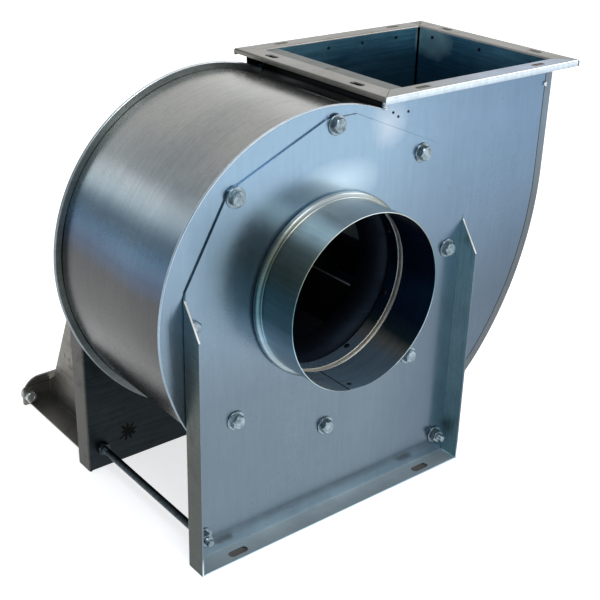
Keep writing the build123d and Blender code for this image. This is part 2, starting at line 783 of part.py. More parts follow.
# Blades: one circular arc each, from the eye to the rim, cut to the shroud's inside
blade_inner_radius = impeller_eye_radius - blade_rim_inset
blade_outer_radius = impeller_radius - blade_rim_inset
blade_arc = ((blade_outer_radius ** 2 - blade_inner_radius ** 2)
             / (2 * (blade_outer_radius * cos(radians(blade_outlet_angle))
                     - blade_inner_radius * cos(radians(blade_inlet_angle)))))
blade_centre_distance = sqrt(blade_inner_radius ** 2 + blade_arc ** 2
                             - 2 * blade_inner_radius * blade_arc * cos(radians(blade_inlet_angle)))


def blade_turn(radius):
    """Angle between the blade arc's centre and its point at a radius, about the impeller's axis."""
    share = (blade_centre_distance ** 2 + radius ** 2 - blade_arc ** 2) / (2 * blade_centre_distance * radius)
    return degrees(acos(share))


def blade_angle_at_centre(centre, point):
    """Direction from the blade arc's centre to a point."""
    return degrees(atan2(point[1] - centre[1], point[0] - centre[0]))


centre_angle = blade_first_angle - blade_turn(blade_inner_radius)
blade_centre = polar(blade_centre_distance, centre_angle)
blade_lead = polar(blade_inner_radius, centre_angle + blade_turn(blade_inner_radius))
blade_trail = polar(blade_outer_radius, centre_angle + blade_turn(blade_outer_radius))
lead_direction = blade_angle_at_centre(blade_centre, blade_lead)
trail_direction = blade_angle_at_centre(blade_centre, blade_trail)
blade_sweep = (lead_direction - trail_direction + 180) % 360 - 180

blade_front = shroud_front + shroud_collar / 2
with BuildPart(mode=Mode.PRIVATE) as above_shroud:
    with BuildSketch(Plane.XY):
        with BuildLine():
            ThreePointArc((shroud_turn[0], shroud_turn[1] + blade_play),
                          (shroud_mid[0], shroud_mid[1] + blade_play),
                          (shroud_rim[0], shroud_rim[1] + blade_play))
            Polyline((shroud_rim[0], shroud_rim[1] + blade_play), (impeller_radius + shroud_sheet, shroud_rim[1]),
                     (impeller_radius + shroud_sheet, 0), (impeller_eye_radius - blade_play, 0),
                     (impeller_eye_radius - blade_play, shroud_turn[1] + blade_play),
                     (shroud_turn[0], shroud_turn[1] + blade_play))
        make_face()
    revolve(axis=Axis.Y)

for index in range(blade_count):
    with BuildPart() as blade:
        with BuildSketch(at_depth(blade_front)):
            with BuildLine():
                back = CenterArc(blade_centre, blade_arc + blade_sheet / 2, trail_direction, blade_sweep)
                front = CenterArc(blade_centre, blade_arc - blade_sheet / 2, trail_direction, blade_sweep)
                Line(back @ 0, front @ 0)
                Line(back @ 1, front @ 1)
            make_face()
        extrude(amount=-(disc_depth - blade_front))
        add(above_shroud.part, mode=Mode.SUBTRACT)
    spun = blade.part.rotate(Axis.Y, -360 * index / blade_count)
    with BuildPart() as placed_blade:
        add(spun)
    finish(placed_blade, f"impeller_blade_{index + 1:02d}")

# Hub: flange riveted to the back disc, and a boss with a keyed bore for the motor shaft
shaft_tip = rear_face - shaft_length
hub_front = disc_depth - hub_flange_thickness
hub_back = rear_face - hub_motor_gap
bore_start = hub_back - hub_bore_depth
hub_face = hub_front - hub_nose
hub_hole_radius = retaining_radius + hub_hole_play
with BuildPart() as impeller_hub:
    tube(hub_hole_radius, hub_flange_radius, hub_front, disc_depth)
    tube(hub_hole_radius, hub_boss_radius, hub_face, bore_start)
    tube(shaft_radius + shaft_running_play, hub_boss_radius, bore_start, hub_back)
    with BuildSketch(at_depth(hub_front)):
        with PolarLocations(hub_rivet_circle, hub_rivet_count):
            Circle(rivet_hole_radius)
    extrude(amount=-hub_flange_thickness, mode=Mode.SUBTRACT)
    with BuildSketch(at_depth(bore_start)):
        with Locations((0, shaft_radius)):
            Rectangle(key_width + 2 * key_play, key_height + 2 * key_play)
    extrude(amount=-hub_bore_depth, mode=Mode.SUBTRACT)
finish(impeller_hub, "impeller_hub")

with BuildPart() as hub_rivets:
    rivet(at_depth(disc_back), [polar(hub_rivet_circle, 360 * index / hub_rivet_count)
                                for index in range(hub_rivet_count)], hub_flange_thickness + disc_sheet)
finish(hub_rivets, "hub_rivets")

with BuildPart() as retaining_bolt:
    heads(at_depth(hub_face), [(0, 0)], retaining_head_height, flats=retaining_flats)
    discs(at_depth(hub_face), [(0, 0)], retaining_radius - thread_play,
          hub_face - shaft_tip - retaining_depth)
finish(retaining_bolt, "retaining_bolt")

key_start = shaft_tip + key_inset
with BuildPart() as shaft_key:
    with BuildSketch(at_depth(key_start)):
        with Locations((0, shaft_radius)):
            Rectangle(key_width, key_height)
    extrude(amount=-key_length)
finish(shaft_key, "shaft_key")

# Motor shaft, stepped for the two bearings, the rotor and the cooling fan
motor_fin_radius = motor_body_radius + motor_fin_height
housing_bore = motor_body_radius - motor_wall
stator_bore_radius = housing_bore - stator_thickness
body_start = rear_face + motor_body_start
body_end = body_start + motor_body_length
shield_end = body_end + rear_shield_thickness
front_bearing = rear_face + front_bearing_inset
front_bearing_end = front_bearing + bearing_width
rear_bearing = shield_end - rear_bearing_inset - bearing_width
rear_bearing_end = rear_bearing + bearing_width
stator_front = rear_face + stator_start
cowl_start = shield_end - cowl_overlap
cowl_end = cowl_start + cowl_length
fan_start = shield_end + cooling_fan_gap
fan_end = fan_start + cooling_fan_width
with BuildPart() as motor_shaft:
    tube(0, shaft_radius, shaft_tip, front_bearing - shaft_collar)
    tube(0, bearing_bore_radius, front_bearing - shaft_collar, front_bearing_end)
    tube(0, rotor_shaft_radius, front_bearing_end, rear_bearing)
    tube(0, bearing_bore_radius, rear_bearing, rear_bearing_end + shaft_collar)
    tube(0, fan_shaft_radius, rear_bearing_end + shaft_collar, fan_end + 2 * shaft_collar)
    with BuildSketch(at_depth(key_start)):
        with Locations((0, shaft_radius)):
            Rectangle(key_width, key_height)
    extrude(amount=-key_length, mode=Mode.SUBTRACT)
    with BuildSketch(at_depth(shaft_tip)):
        Circle(retaining_radius)
    extrude(amount=-shaft_hole_depth, mode=Mode.SUBTRACT)
finish(motor_shaft, "motor_shaft")

with BuildPart() as rotor_core:
    tube(rotor_shaft_radius, stator_bore_radius - air_gap, stator_front - rotor_ring,
         stator_front + stator_length + rotor_ring)
finish(rotor_core, "rotor_core")

with BuildPart() as stator_core:
    tube(stator_bore_radius, housing_bore, stator_front, stator_front + stator_length)
    tube(stator_bore_radius + winding_inset, housing_bore - winding_inset,
         stator_front - winding_length, stator_front + stator_length + winding_length)
finish(stator_core, "stator_core")

for name, start in (("front", front_bearing), ("rear", rear_bearing)):
    with BuildPart() as outer_ring:
        tube(bearing_outer_radius - bearing_ring, bearing_outer_radius, start, start + bearing_width)
    finish(outer_ring, name + "_bearing_outer")
    with BuildPart() as inner_ring:
        tube(bearing_bore_radius, bearing_bore_radius + bearing_ring, start, start + bearing_width)
    finish(inner_ring, name + "_bearing_inner")

# Flange shield: spigot, mounting flange, a neck that clears the nuts, and a bearing seat
flange_back_face = rear_face + motor_flange_thickness
bearing_seat = bearing_outer_radius + bearing_seat_play
shaft_opening = bearing_bore_radius + shaft_hole_play
motor_neck_radius = motor_bolt_circle - neck_clearance
neck_end = flange_back_face + nut_height + 2 * thread_end
with BuildPart() as motor_flange_shield:
    turned([(shaft_opening, rear_face - motor_spigot_height),
            (motor_spigot_radius, rear_face - motor_spigot_height), (motor_spigot_radius, rear_face),
            (motor_flange_radius, rear_face), (motor_flange_radius, flange_back_face),
            (motor_neck_radius, flange_back_face), (motor_neck_radius, neck_end),
            (motor_body_radius, body_start), (housing_bore, body_start),
            (bearing_seat + 2 * motor_wall, front_bearing_end), (bearing_seat, front_bearing_end),
            (bearing_seat, front_bearing), (shaft_opening, front_bearing)])
    with BuildSketch(at_depth(rear_face)):
        with Locations(*motor_bolt_spots):
            Circle(bolt_hole_radius)
    extrude(amount=-motor_flange_thickness, mode=Mode.SUBTRACT)
finish(motor_flange_shield, "motor_flange_shield")

# Finned housing with a pad for the terminal box
pad_top = motor_fin_radius + terminal_pad_height
box_start = body_start + terminal_inset
fin_root = motor_body_radius - fin_foot
with BuildPart() as motor_housing:
    tube(housing_bore, motor_body_radius, body_start, body_end)
    with BuildSketch(at_depth(body_start)):
        with PolarLocations((fin_root + motor_fin_radius) / 2, motor_fin_count):
            Rectangle(motor_fin_radius - fin_root, motor_fin_width)
    extrude(amount=-motor_body_length)
    with BuildSketch(at_depth(box_start)):
        with Locations((0, pad_top)):
            Rectangle(terminal_box_width, pad_top, align=(Align.CENTER, Align.MAX))
        Circle(fin_root, mode=Mode.SUBTRACT)
        with Locations((0, 0)):
            Rectangle(2 * motor_fin_radius, 2 * pad_side_height, mode=Mode.SUBTRACT)
    extrude(amount=-terminal_box_length)
finish(motor_housing, "motor_housing")

with BuildPart() as motor_rear_shield:
    turned([(shaft_opening, shield_end), (shaft_opening, rear_bearing_end),
            (bearing_seat, rear_bearing_end), (bearing_seat, rear_bearing),
            (bearing_seat + motor_wall, rear_bearing), (bearing_seat + 2 * motor_wall, body_end),
            (motor_fin_radius, body_end), (motor_fin_radius, shield_end)])
finish(motor_rear_shield, "motor_rear_shield")

# Fan cowl with radial slots in its end
cowl_radius = motor_fin_radius + cowl_play
cowl_outer = cowl_radius + cowl_sheet
with BuildPart() as motor_fan_cowl:
    turned([(cowl_radius, cowl_start), (cowl_outer, cowl_start), (cowl_outer, cowl_end - cowl_bevel),
            (cowl_outer - cowl_bevel, cowl_end), (0, cowl_end), (0, cowl_end - cowl_sheet),
            (cowl_radius - cowl_bevel, cowl_end - cowl_sheet), (cowl_radius, cowl_end - cowl_sheet - cowl_bevel)])
    with BuildSketch(at_depth(cowl_end)):
        with PolarLocations(cowl_slot_circle, cowl_slot_count):
            SlotOverall(cowl_slot_length, cowl_slot_width)
    extrude(amount=2 * cowl_sheet, both=True, mode=Mode.SUBTRACT)
finish(motor_fan_cowl, "motor_fan_cowl")

cooling_blade_length = cooling_fan_radius - cooling_hub_radius + cooling_blade_foot
with BuildPart() as cooling_fan:
    tube(fan_shaft_radius, cooling_hub_radius, fan_start, fan_end)
    tube(cooling_hub_radius - cooling_blade_foot, cooling_disc_radius, fan_start, fan_start + cooling_sheet)
    with BuildSketch(at_depth(fan_start)):
        with PolarLocations(cooling_fan_radius - cooling_blade_length / 2, cooling_blade_count):
            Rectangle(cooling_blade_length, cooling_sheet)
    extrude(amount=-cooling_fan_width)
finish(cooling_fan, "cooling_fan")

# Terminal box, lid and gland on top of the motor
box_middle = box_start + terminal_box_length / 2
with BuildPart() as terminal_box:
    with BuildSketch(Plane.XY.offset(pad_top)):
        with Locations((0, box_middle)):
            RectangleRounded(terminal_box_width, terminal_box_length, terminal_corner)
    extrude(amount=terminal_box_height)
    box_opening = terminal_box.faces().sort_by(Axis.Z)[-1]
    offset(amount=-terminal_wall, openings=box_opening)
finish(terminal_box, "terminal_box")

with BuildPart() as terminal_box_lid:
    with BuildSketch(Plane.XY.offset(pad_top + terminal_box_height)):
        with Locations((0, box_middle)):
            RectangleRounded(terminal_box_width, terminal_box_length, terminal_corner)
    extrude(amount=terminal_lid_height)
    chamfer(terminal_box_lid.faces().sort_by(Axis.Z)[-1].edges(), length=terminal_lid_height / 3)
finish(terminal_box_lid, "terminal_box_lid")

gland_place = Plane(origin=(terminal_box_width / 2, box_middle, pad_top + terminal_box_height / 2),
                    x_dir=(0, 1, 0), z_dir=(1, 0, 0))
with BuildPart() as cable_gland:
    heads(gland_place, [(0, 0)], gland_hexagon, flats=2 * gland_radius)
    discs(gland_place.offset(gland_hexagon), [(0, 0)], gland_radius - gland_neck_step,
          gland_length - gland_hexagon)
    with BuildSketch(gland_place):
        Circle(gland_bore_radius)
    extrude(amount=gland_length, mode=Mode.SUBTRACT)
finish(cable_gland, "cable_gland")

# Motor flange bolts, with their nuts behind the flange
flange_grip = support_sheet + motor_flange_thickness + nut_height + thread_end
with BuildPart() as motor_flange_bolts:
    bolts(at_depth(casing_back), motor_bolt_spots, flange_grip)
finish(motor_flange_bolts, "motor_flange_bolts")
with BuildPart() as motor_flange_nuts:
    nuts(at_depth(flange_back_face), motor_bolt_spots, -nut_height)
finish(motor_flange_nuts, "motor_flange_nuts")

# Rear braces: web, foot, two tabs on the rear support and a tab for the cross bar
support_back = rear_face + support_flange - support_sheet
brace_start = support_back + brace_clearance
brace_back = rear_face + brace_depth
brace_tab_bottom = base + brace_tab_rise
foot_clear = base + support_sheet + brace_clearance


def brace(side):
    """Folded brace on one side of the motor, its foot and tabs turned away from the motor."""
    def across(start, end):
        """Middle and width of a stretch, counted outwards from the supports' middle."""
        return support_shift + side * (start + end) / 2, end - start

    tab_middle, tab_width = across(brace_offset - brace_sheet, brace_offset + brace_tab_width)
    foot_middle, foot_width = across(brace_offset - brace_sheet, brace_offset + brace_foot_width)
    end_middle, end_width = across(brace_offset - brace_sheet, brace_offset + brace_end_tab_width)
    web_middle = across(brace_offset - brace_sheet, brace_offset)[0]
    with BuildPart() as piece:
        with BuildSketch(Plane.YZ.offset(web_middle - brace_sheet / 2)):
            with BuildLine():
                Polyline((rear_face, foot_clear), (brace_start, foot_clear), (brace_start, base),
                         (brace_back, base), (brace_back, base + brace_end_tab_height),
                         (brace_back - brace_toe_depth, base + brace_toe_height),
                         (rear_face + brace_top_depth, brace_top), (rear_face, brace_top), close=True)
            make_face()
        extrude(amount=brace_sheet)
        with BuildSketch(at_depth(rear_face)):
            with Locations((tab_middle, brace_tab_bottom)):
                Rectangle(tab_width, brace_top - brace_tab_bottom, align=(Align.CENTER, Align.MIN))
            with Locations((support_shift + side * (brace_offset + brace_tab_width), 0)):
                Rectangle(2 * brace_tab_width, brace_notch_height, mode=Mode.SUBTRACT)
            with Locations(*brace_spots):
                Circle(bolt_hole_radius, mode=Mode.SUBTRACT)
        extrude(amount=-brace_sheet)
        with BuildSketch(Plane.XY.offset(base)):
            with Locations((foot_middle, brace_start)):
                Rectangle(foot_width, brace_back - brace_start, align=(Align.CENTER, Align.MIN))
        extrude(amount=brace_sheet)
        with BuildSketch(at_depth(brace_back)):
            with Locations((end_middle, base)):
                Rectangle(end_width, brace_end_tab_height, align=(Align.CENTER, Align.MIN))
            with Locations(*cross_bar_spots):
                Circle(bolt_hole_radius, mode=Mode.SUBTRACT)
        extrude(amount=brace_sheet)
    return piece


cross_bar_spots = [(support_shift + side * (cross_bar_half_length - cross_bar_bolt_inset),
                    base + cross_bar_bolt_height) for side in (-1, 1)]
finish(brace(-1), "left_brace")
finish(brace(1), "right_brace")

with BuildPart() as rear_cross_bar:
    with BuildSketch(at_depth(brace_back)) as bar_profile:
        with Locations((support_shift, base)):
            Rectangle(2 * cross_bar_half_length, cross_bar_height, align=(Align.CENTER, Align.MIN))
        fillet(bar_profile.vertices().group_by(Axis.Y)[-1], radius=cross_bar_corner)
        with Locations(*cross_bar_spots):
            Circle(bolt_hole_radius, mode=Mode.SUBTRACT)
    extrude(amount=-cross_bar_sheet)
finish(rear_cross_bar, "rear_cross_bar")

# Brace bolts: six through the rear support and the casing, two through the cross bar
brace_grip = brace_sheet + support_sheet + casing_sheet + nut_height + thread_end
cross_bar_grip = brace_sheet + cross_bar_sheet + nut_height + cross_bar_stud
brace_outside = Plane(origin=(0, rear_face + brace_sheet, 0), x_dir=(1, 0, 0), z_dir=(0, 1, 0))
with BuildPart() as brace_bolts:
    bolts(brace_outside, on_plane(brace_outside, brace_spots), brace_grip)
    bolts(at_depth(brace_back - brace_sheet), cross_bar_spots, cross_bar_grip)
finish(brace_bolts, "brace_bolts")
with BuildPart() as brace_nuts:
    nuts(at_depth(inside_back), brace_spots, nut_height)
    nuts(at_depth(brace_back + cross_bar_sheet), cross_bar_spots, -nut_height)
finish(brace_nuts, "brace_nuts")
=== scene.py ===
import json
import math
import random

import bmesh
import bpy
from mathutils import Matrix, Vector, noise


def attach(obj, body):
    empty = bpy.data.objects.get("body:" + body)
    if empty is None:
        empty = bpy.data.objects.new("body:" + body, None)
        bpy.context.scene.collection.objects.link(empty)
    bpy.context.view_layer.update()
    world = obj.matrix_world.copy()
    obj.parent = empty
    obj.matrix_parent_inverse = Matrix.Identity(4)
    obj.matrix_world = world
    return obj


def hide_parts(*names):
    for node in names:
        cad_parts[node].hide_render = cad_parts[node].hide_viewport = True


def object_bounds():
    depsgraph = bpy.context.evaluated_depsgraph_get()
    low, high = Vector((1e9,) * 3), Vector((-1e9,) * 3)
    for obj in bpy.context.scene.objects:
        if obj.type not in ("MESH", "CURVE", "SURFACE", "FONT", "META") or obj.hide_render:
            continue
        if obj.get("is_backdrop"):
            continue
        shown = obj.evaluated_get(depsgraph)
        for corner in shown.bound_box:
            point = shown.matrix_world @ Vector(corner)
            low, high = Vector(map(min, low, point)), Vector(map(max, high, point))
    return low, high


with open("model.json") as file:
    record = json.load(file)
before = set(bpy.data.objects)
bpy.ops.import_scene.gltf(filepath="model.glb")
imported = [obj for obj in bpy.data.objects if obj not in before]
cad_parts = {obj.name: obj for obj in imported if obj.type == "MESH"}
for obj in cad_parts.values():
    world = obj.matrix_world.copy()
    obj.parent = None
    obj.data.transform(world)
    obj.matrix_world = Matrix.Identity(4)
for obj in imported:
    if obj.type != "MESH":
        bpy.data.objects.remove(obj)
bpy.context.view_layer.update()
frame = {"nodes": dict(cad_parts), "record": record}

# Sizes in millimetres, as in the part's source. Depths count from the front support's front face.
MM = 0.001
ORIGIN_DEPTH = -8.0
BASE = -260.0
CASING_FRONT, CASING_BACK, REAR_FACE = 2.0, 200.0, 202.0
INSIDE_FRONT, INSIDE_BACK = 3.2, 198.8
SHEET = 1.2
SUPPORT_SHIFT, SUPPORT_HALF = 6.5, 175.5
SUPPORT_LEFT, SUPPORT_RIGHT = SUPPORT_SHIFT - SUPPORT_HALF, SUPPORT_SHIFT + SUPPORT_HALF
CENTRE_1, RADIUS_1 = Vector((-9.3, -6.4)), 177.0
RADIUS_2, RADIUS_3 = 233.0, 320.5
JOINT_1, JOINT_2 = 194.8, 323.3
DUCT_LEFT, OUTLET_TOP, WALL_TOP = 67.0, 183.0, 181.5
DISC, EYE, TIP = 130.0, 80.0, 140.0
BOLT_HOLE, WASHER, RIVET_HOLE, RIVET_LEVEL = 4.4, 1.6, 1.7, 173.5
FRONT, REAR = (0, -1, 0), (0, 1, 0)
SIDES = (-1, 1)


def on_circle(radius, angle, centre=Vector((0.0, 0.0))):
    """Point (x, z) at a radius and an angle in degrees."""
    return centre + Vector((math.cos(math.radians(angle)), math.sin(math.radians(angle)))) * radius


CENTRE_2 = on_circle(RADIUS_1 - RADIUS_2, JOINT_1, CENTRE_1)
CENTRE_3 = on_circle(RADIUS_2 - RADIUS_3, JOINT_2, CENTRE_2)
DUCT_RIGHT = CENTRE_3.x + RADIUS_3 - SHEET
WRAP_START = DUCT_LEFT - SHEET
BOLT_SPOTS = [on_circle(160.0, 45.0 * index) for index in range(8)]
ROD_SPOTS = [Vector((SUPPORT_SHIFT + side * 159.0, BASE + 27.0)) for side in SIDES]
MOTOR_SPOTS = [on_circle(57.5, angle) for angle in (45, 135, 225, 315)]
BRACE_BOLTS = [Vector((SUPPORT_SHIFT + side * 146.5, z)) for side in SIDES for z in (-100.0, -40.0, 40.0)]
BAR_BOLTS = [Vector((SUPPORT_SHIFT + side * 162.0, BASE + 11.0)) for side in SIDES]


# Materials
class Tree:
    """Node tree of a material or of the world, with short calls for the nodes that the finishes use."""

    def __init__(self, owner, coordinates="Object"):
        owner.use_nodes = True
        self.owner = owner
        self.nodes, self.links = owner.node_tree.nodes, owner.node_tree.links
        self.place = self.nodes.new("ShaderNodeTexCoord").outputs[coordinates]

    def plug(self, value, socket):
        if isinstance(value, bpy.types.NodeSocket):
            self.links.new(value, socket)
        else:
            socket.default_value = value

    def math(self, operation, a, b=0.0, clamp=False):
        node = self.nodes.new("ShaderNodeMath")
        node.operation = operation
        node.use_clamp = clamp
        self.plug(a, node.inputs[0])
        self.plug(b, node.inputs[1])
        return node.outputs[0]

    def plus(self, a, b):
        return self.math("ADD", a, b)

    def minus(self, a, b):
        return self.math("SUBTRACT", a, b)

    def times(self, a, b):
        return self.math("MULTIPLY", a, b)

    def over(self, value, limit):
        return self.math("GREATER_THAN", value, limit)

    def under(self, value, limit):
        return self.math("LESS_THAN", value, limit)

    def far(self, *parts):
        """Length of the vector with these parts."""
        total = 0.0
        for part in parts:
            total = self.plus(total, self.times(part, part))
        return self.math("SQRT", total)

    def spread(self, pattern, amount):
        """Pattern about its middle, over a range."""
        return self.times(self.minus(pattern, 0.5), amount)

    def uneven(self, value, amount, scale, detail=3.0):
        """Value with noise over a range added."""
        return self.plus(value, self.spread(self.noise(scale, detail), amount))

    def stretched(self, scale):
        node = self.nodes.new("ShaderNodeMapping")
        self.links.new(self.place, node.inputs["Vector"])
        node.inputs["Scale"].default_value = scale
        return node.outputs[0]

    def noise(self, scale, detail=2.0, rough=0.5, vector=None, warp=0.0):
        node = self.nodes.new("ShaderNodeTexNoise")
        self.links.new(vector or self.place, node.inputs["Vector"])
        for name, value in (("Scale", scale), ("Detail", detail), ("Roughness", rough), ("Distortion", warp)):
            node.inputs[name].default_value = value
        return node.outputs["Fac"]

    def cells(self, scale):
        node = self.nodes.new("ShaderNodeTexVoronoi")
        self.links.new(self.place, node.inputs["Vector"])
        node.inputs["Scale"].default_value = scale
        split = self.nodes.new("ShaderNodeSeparateColor")
        self.links.new(node.outputs["Color"], split.inputs[0])
        return split.outputs[0]

    def remap(self, value, low, high, to_low=0.0, to_high=1.0):
        node = self.nodes.new("ShaderNodeMapRange")
        self.plug(value, node.inputs["Value"])
        for name, limit in (("From Min", low), ("From Max", high), ("To Min", to_low), ("To Max", to_high)):
            node.inputs[name].default_value = limit
        return node.outputs["Result"]

    def blend(self, factor, a, b, mode="MIX"):
        node = self.nodes.new("ShaderNodeMix")
        node.data_type = "RGBA"
        node.blend_type = mode
        for value, index in ((factor, 0), (a, 6), (b, 7)):
            self.plug(value, node.inputs[index])
        return node.outputs[2]

    def product(self, a, b):
        """One colour times another."""
        return self.blend(1.0, a, b, "MULTIPLY")

    def grey(self, value):
        node = self.nodes.new("ShaderNodeCombineColor")
        for socket in node.inputs[:3]:
            self.links.new(value, socket)
        return node.outputs[0]

    def ramp(self, value, stops):
        """Colour that changes along a value, from (place, colour) stops."""
        low, high = stops[0][0], stops[-1][0]
        node = self.nodes.new("ShaderNodeValToRGB")
        self.links.new(self.remap(value, low, high), node.inputs[0])
        elements = node.color_ramp.elements
        elements[0].color, elements[1].color = rgb(*stops[0][1]), rgb(*stops[-1][1])
        for place, colour in stops[1:-1]:
            elements.new((place - low) / (high - low)).color = rgb(*colour)
        return node.outputs[0]

    def axis(self, index):
        split = self.nodes.new("ShaderNodeSeparateXYZ")
        self.links.new(self.place, split.inputs[0])
        return split.outputs[index]

    def bump(self, height, distance, strength=1.0, after=None):
        node = self.nodes.new("ShaderNodeBump")
        node.inputs["Distance"].default_value = distance
        node.inputs["Strength"].default_value = strength
        self.links.new(height, node.inputs["Height"])
        if after is not None:
            self.links.new(after, node.inputs["Normal"])
        return node.outputs[0]

    def finish(self, colour, roughness, metallic, normal=None):
        inputs = self.nodes["Principled BSDF"].inputs
        self.plug(colour, inputs["Base Color"])
        self.plug(roughness, inputs["Roughness"])
        inputs["Metallic"].default_value = metallic
        if normal is not None:
            self.links.new(normal, inputs["Normal"])
        return self.owner


def rgb(red, green, blue):
    return (red, green, blue, 1.0)


def tree_of(name):
    """Node tree of a new material."""
    material = bpy.data.materials.new(name)
    return Tree(material)


def galvanised(name, light, dark, gloss=0.30, spangle=0.10, streak=(3.0, 3.0, 60.0), dirt=0.25,
               dirt_colour=(0.10, 0.095, 0.08), extra=None, metal=0.92):
    """Hot-dip galvanised sheet: fine spangle, cloudy oxide, rolling streaks, grime and slight waves."""
    t = tree_of("galvanised_" + name)
    crystals = t.cells(260.0)
    grain = t.noise(1500.0, 2.0)
    clouds = t.noise(7.0, 4.0, 0.6, warp=0.4)
    streaks = t.noise(6.0, 3.0, 0.55, t.stretched(streak))
    tone = t.remap(t.plus(t.times(clouds, 0.55), t.times(streaks, 0.45)), 0.34, 0.66)
    lift = 1.0
    for pattern, share in ((crystals, 1.0), (t.cells(70.0), 0.6), (grain, 1.5)):
        lift = t.plus(lift, t.spread(pattern, spangle * share))
    base = t.product(t.blend(tone, rgb(*dark), rgb(*light)), t.grey(lift))
    grime = t.remap(t.noise(22.0, 6.0, 0.7, warp=1.0), 0.56, 0.78, 0.0, dirt)
    base = t.blend(grime, base, rgb(*dirt_colour))
    if extra is not None:
        base = extra(t, base)
    rough = t.plus(t.plus(t.spread(crystals, 0.03), gloss), t.spread(clouds, 0.18))
    rough = t.math("ADD", rough, t.times(grime, 0.5), True)
    normal = t.bump(t.noise(9.0, 1.0, 0.4), 0.0032, 0.5)
    for pattern in (crystals, grain):
        normal = t.bump(pattern, 0.00001, spangle, normal)
    return t.finish(base, rough, metal, normal)


def zinc(name, light, dark, gloss=0.28):
    """Bright zinc plating on fasteners, dulled in patches, and other plain steel."""
    t = tree_of(name)
    base = t.blend(t.remap(t.noise(160.0, 4.0, 0.6), 0.35, 0.7), rgb(*light), rgb(*dark))
    rough = t.remap(t.noise(420.0, 3.0), 0.3, 0.7, gloss - 0.08, gloss + 0.14)
    return t.finish(base, rough, 0.95, t.bump(t.noise(900.0, 3.0), 0.00004, 0.4))


def painted(name, colour, worn, gloss=0.42):
    """Sprayed machine paint with orange peel, dust and chips."""
    t = tree_of(name)
    dust = t.remap(t.noise(18.0, 5.0, 0.65), 0.45, 0.75, 0.0, 0.45)
    base = t.blend(dust, rgb(*colour), rgb(0.30, 0.29, 0.27))
    base = t.blend(t.remap(t.noise(240.0, 4.0, 0.7), 0.69, 0.72), base, rgb(*worn))
    rough = t.math("ADD", t.times(dust, 0.5), gloss, True)
    return t.finish(base, rough, 0.0, t.bump(t.noise(520.0, 2.0), 0.00012, 0.5))


def plastic(name, colour):
    """Moulded black plastic."""
    t = tree_of(name)
    base = t.blend(t.remap(t.noise(25.0, 4.0), 0.4, 0.7, 0.0, 0.5), rgb(*colour), rgb(0.12, 0.12, 0.12))
    return t.finish(base, 0.55, 0.0, t.bump(t.noise(1100.0, 2.0), 0.00005, 0.5))


# Slow changes of colour over the sheets, nearly all of them painted light, shade and reflections; the splash is a
# real mark. Their places are in metres of the frame.
def tinted(t, base, value, stops, wobble=0.0, scale=8.0):
    """Base colour times a colour that changes along a value, with an uneven edge."""
    if wobble:
        value = t.uneven(value, wobble, scale)
    return t.product(base, t.ramp(value, stops))


def along(axis, wobble, scale, *stops):
    """Finish's change along one axis."""
    return lambda t, base: tinted(t, base, t.axis(axis), stops, wobble, scale)


# Wrap: painted reflections and shade, darker below, with blue and pale bands higher up.
wrap_reflections = along(2, 0.022, 9.0, (-0.14, (0.036, 0.036, 0.033)), (-0.085, (0.052, 0.052, 0.050)),
                   (-0.050, (0.080, 0.080, 0.078)), (0.0, (0.112, 0.112, 0.114)), (0.018, (0.118, 0.122, 0.130)),
                   (0.036, (0.130, 0.185, 0.300)), (0.054, (0.210, 0.360, 0.540)), (0.071, (0.290, 0.400, 0.500)),
                   (0.087, (0.620, 0.740, 0.820)), (0.12, (1.0, 1.0, 1.0)))
# Inlet tube and bead: painted reflections, dark at the very bottom, pale and bluish low down, a dark teal band about
# the middle, bright on top.
tube_shades = along(2, 0.010, 20.0, (-0.09, (0.45, 0.52, 0.60)), (-0.083, (0.55, 0.62, 0.72)),
                    (-0.072, (1.25, 1.35, 1.45)), (-0.055, (1.25, 1.40, 1.55)), (-0.030, (1.15, 1.45, 1.75)),
                    (-0.005, (0.32, 0.60, 0.72)), (0.022, (0.28, 0.50, 0.56)), (0.045, (0.60, 0.64, 0.52)),
                    (0.064, (0.90, 0.86, 0.74)), (0.080, (1.60, 1.50, 1.40)), (0.09, (2.10, 2.05, 2.10)))
# Groove inside the bead: painted highlight, brightest at the bottom.
groove_shades = along(2, 0.010, 20.0, (-0.092, (2.1, 1.9, 1.8)), (-0.080, (1.7, 1.5, 1.35)),
                      (-0.040, (1.1, 1.0, 0.92)), (0.03, (0.9, 0.9, 0.9)))
# Inside of the tube: painted light toward the bottom, darkened to dark blue above as painted shade.
tube_inside_shades = along(2, 0.010, 18.0, (-0.089, (1.45, 1.50, 1.45)), (-0.078, (1.55, 1.45, 1.30)),
                           (-0.070, (1.80, 1.20, 0.80)), (-0.061, (0.16, 0.22, 0.20)),
                           (-0.045, (0.06, 0.10, 0.18)), (-0.015, (0.05, 0.16, 0.26)),
                           (0.005, (0.05, 0.07, 0.15)), (0.09, (0.04, 0.06, 0.14)))
# Front rim's rolled edge: painted highlight, fading lower down.
front_edge_shades = along(2, 0.03, 12.0, (-0.06, (0.30, 0.36, 0.40)), (0.04, (0.42, 0.50, 0.56)),
                          (0.14, (1.0, 1.0, 1.0)))
# Rear rim's rolled edge: painted highlight, fading lower down.
rear_edge_shades = along(2, 0.03, 12.0, (0.02, (0.30, 0.33, 0.34)), (0.09, (0.42, 0.44, 0.42)),
                         (0.16, (1.0, 1.0, 1.0)))
# Front flange strip's top: painted bluish reflection, stronger to the right.
strip_shades = along(0, 0.06, 12.0, (0.10, (1.0, 1.05, 1.10)), (0.20, (1.15, 1.40, 1.90)),
                     (0.31, (1.20, 1.45, 1.90)))
# Front seam's band on its right part: painted light, lighter upward.
band_shades = along(2, 0.03, 12.0, (-0.06, (1.0, 1.0, 1.0)), (0.04, (1.10, 1.15, 1.20)),
                    (0.13, (1.45, 1.65, 1.85)))
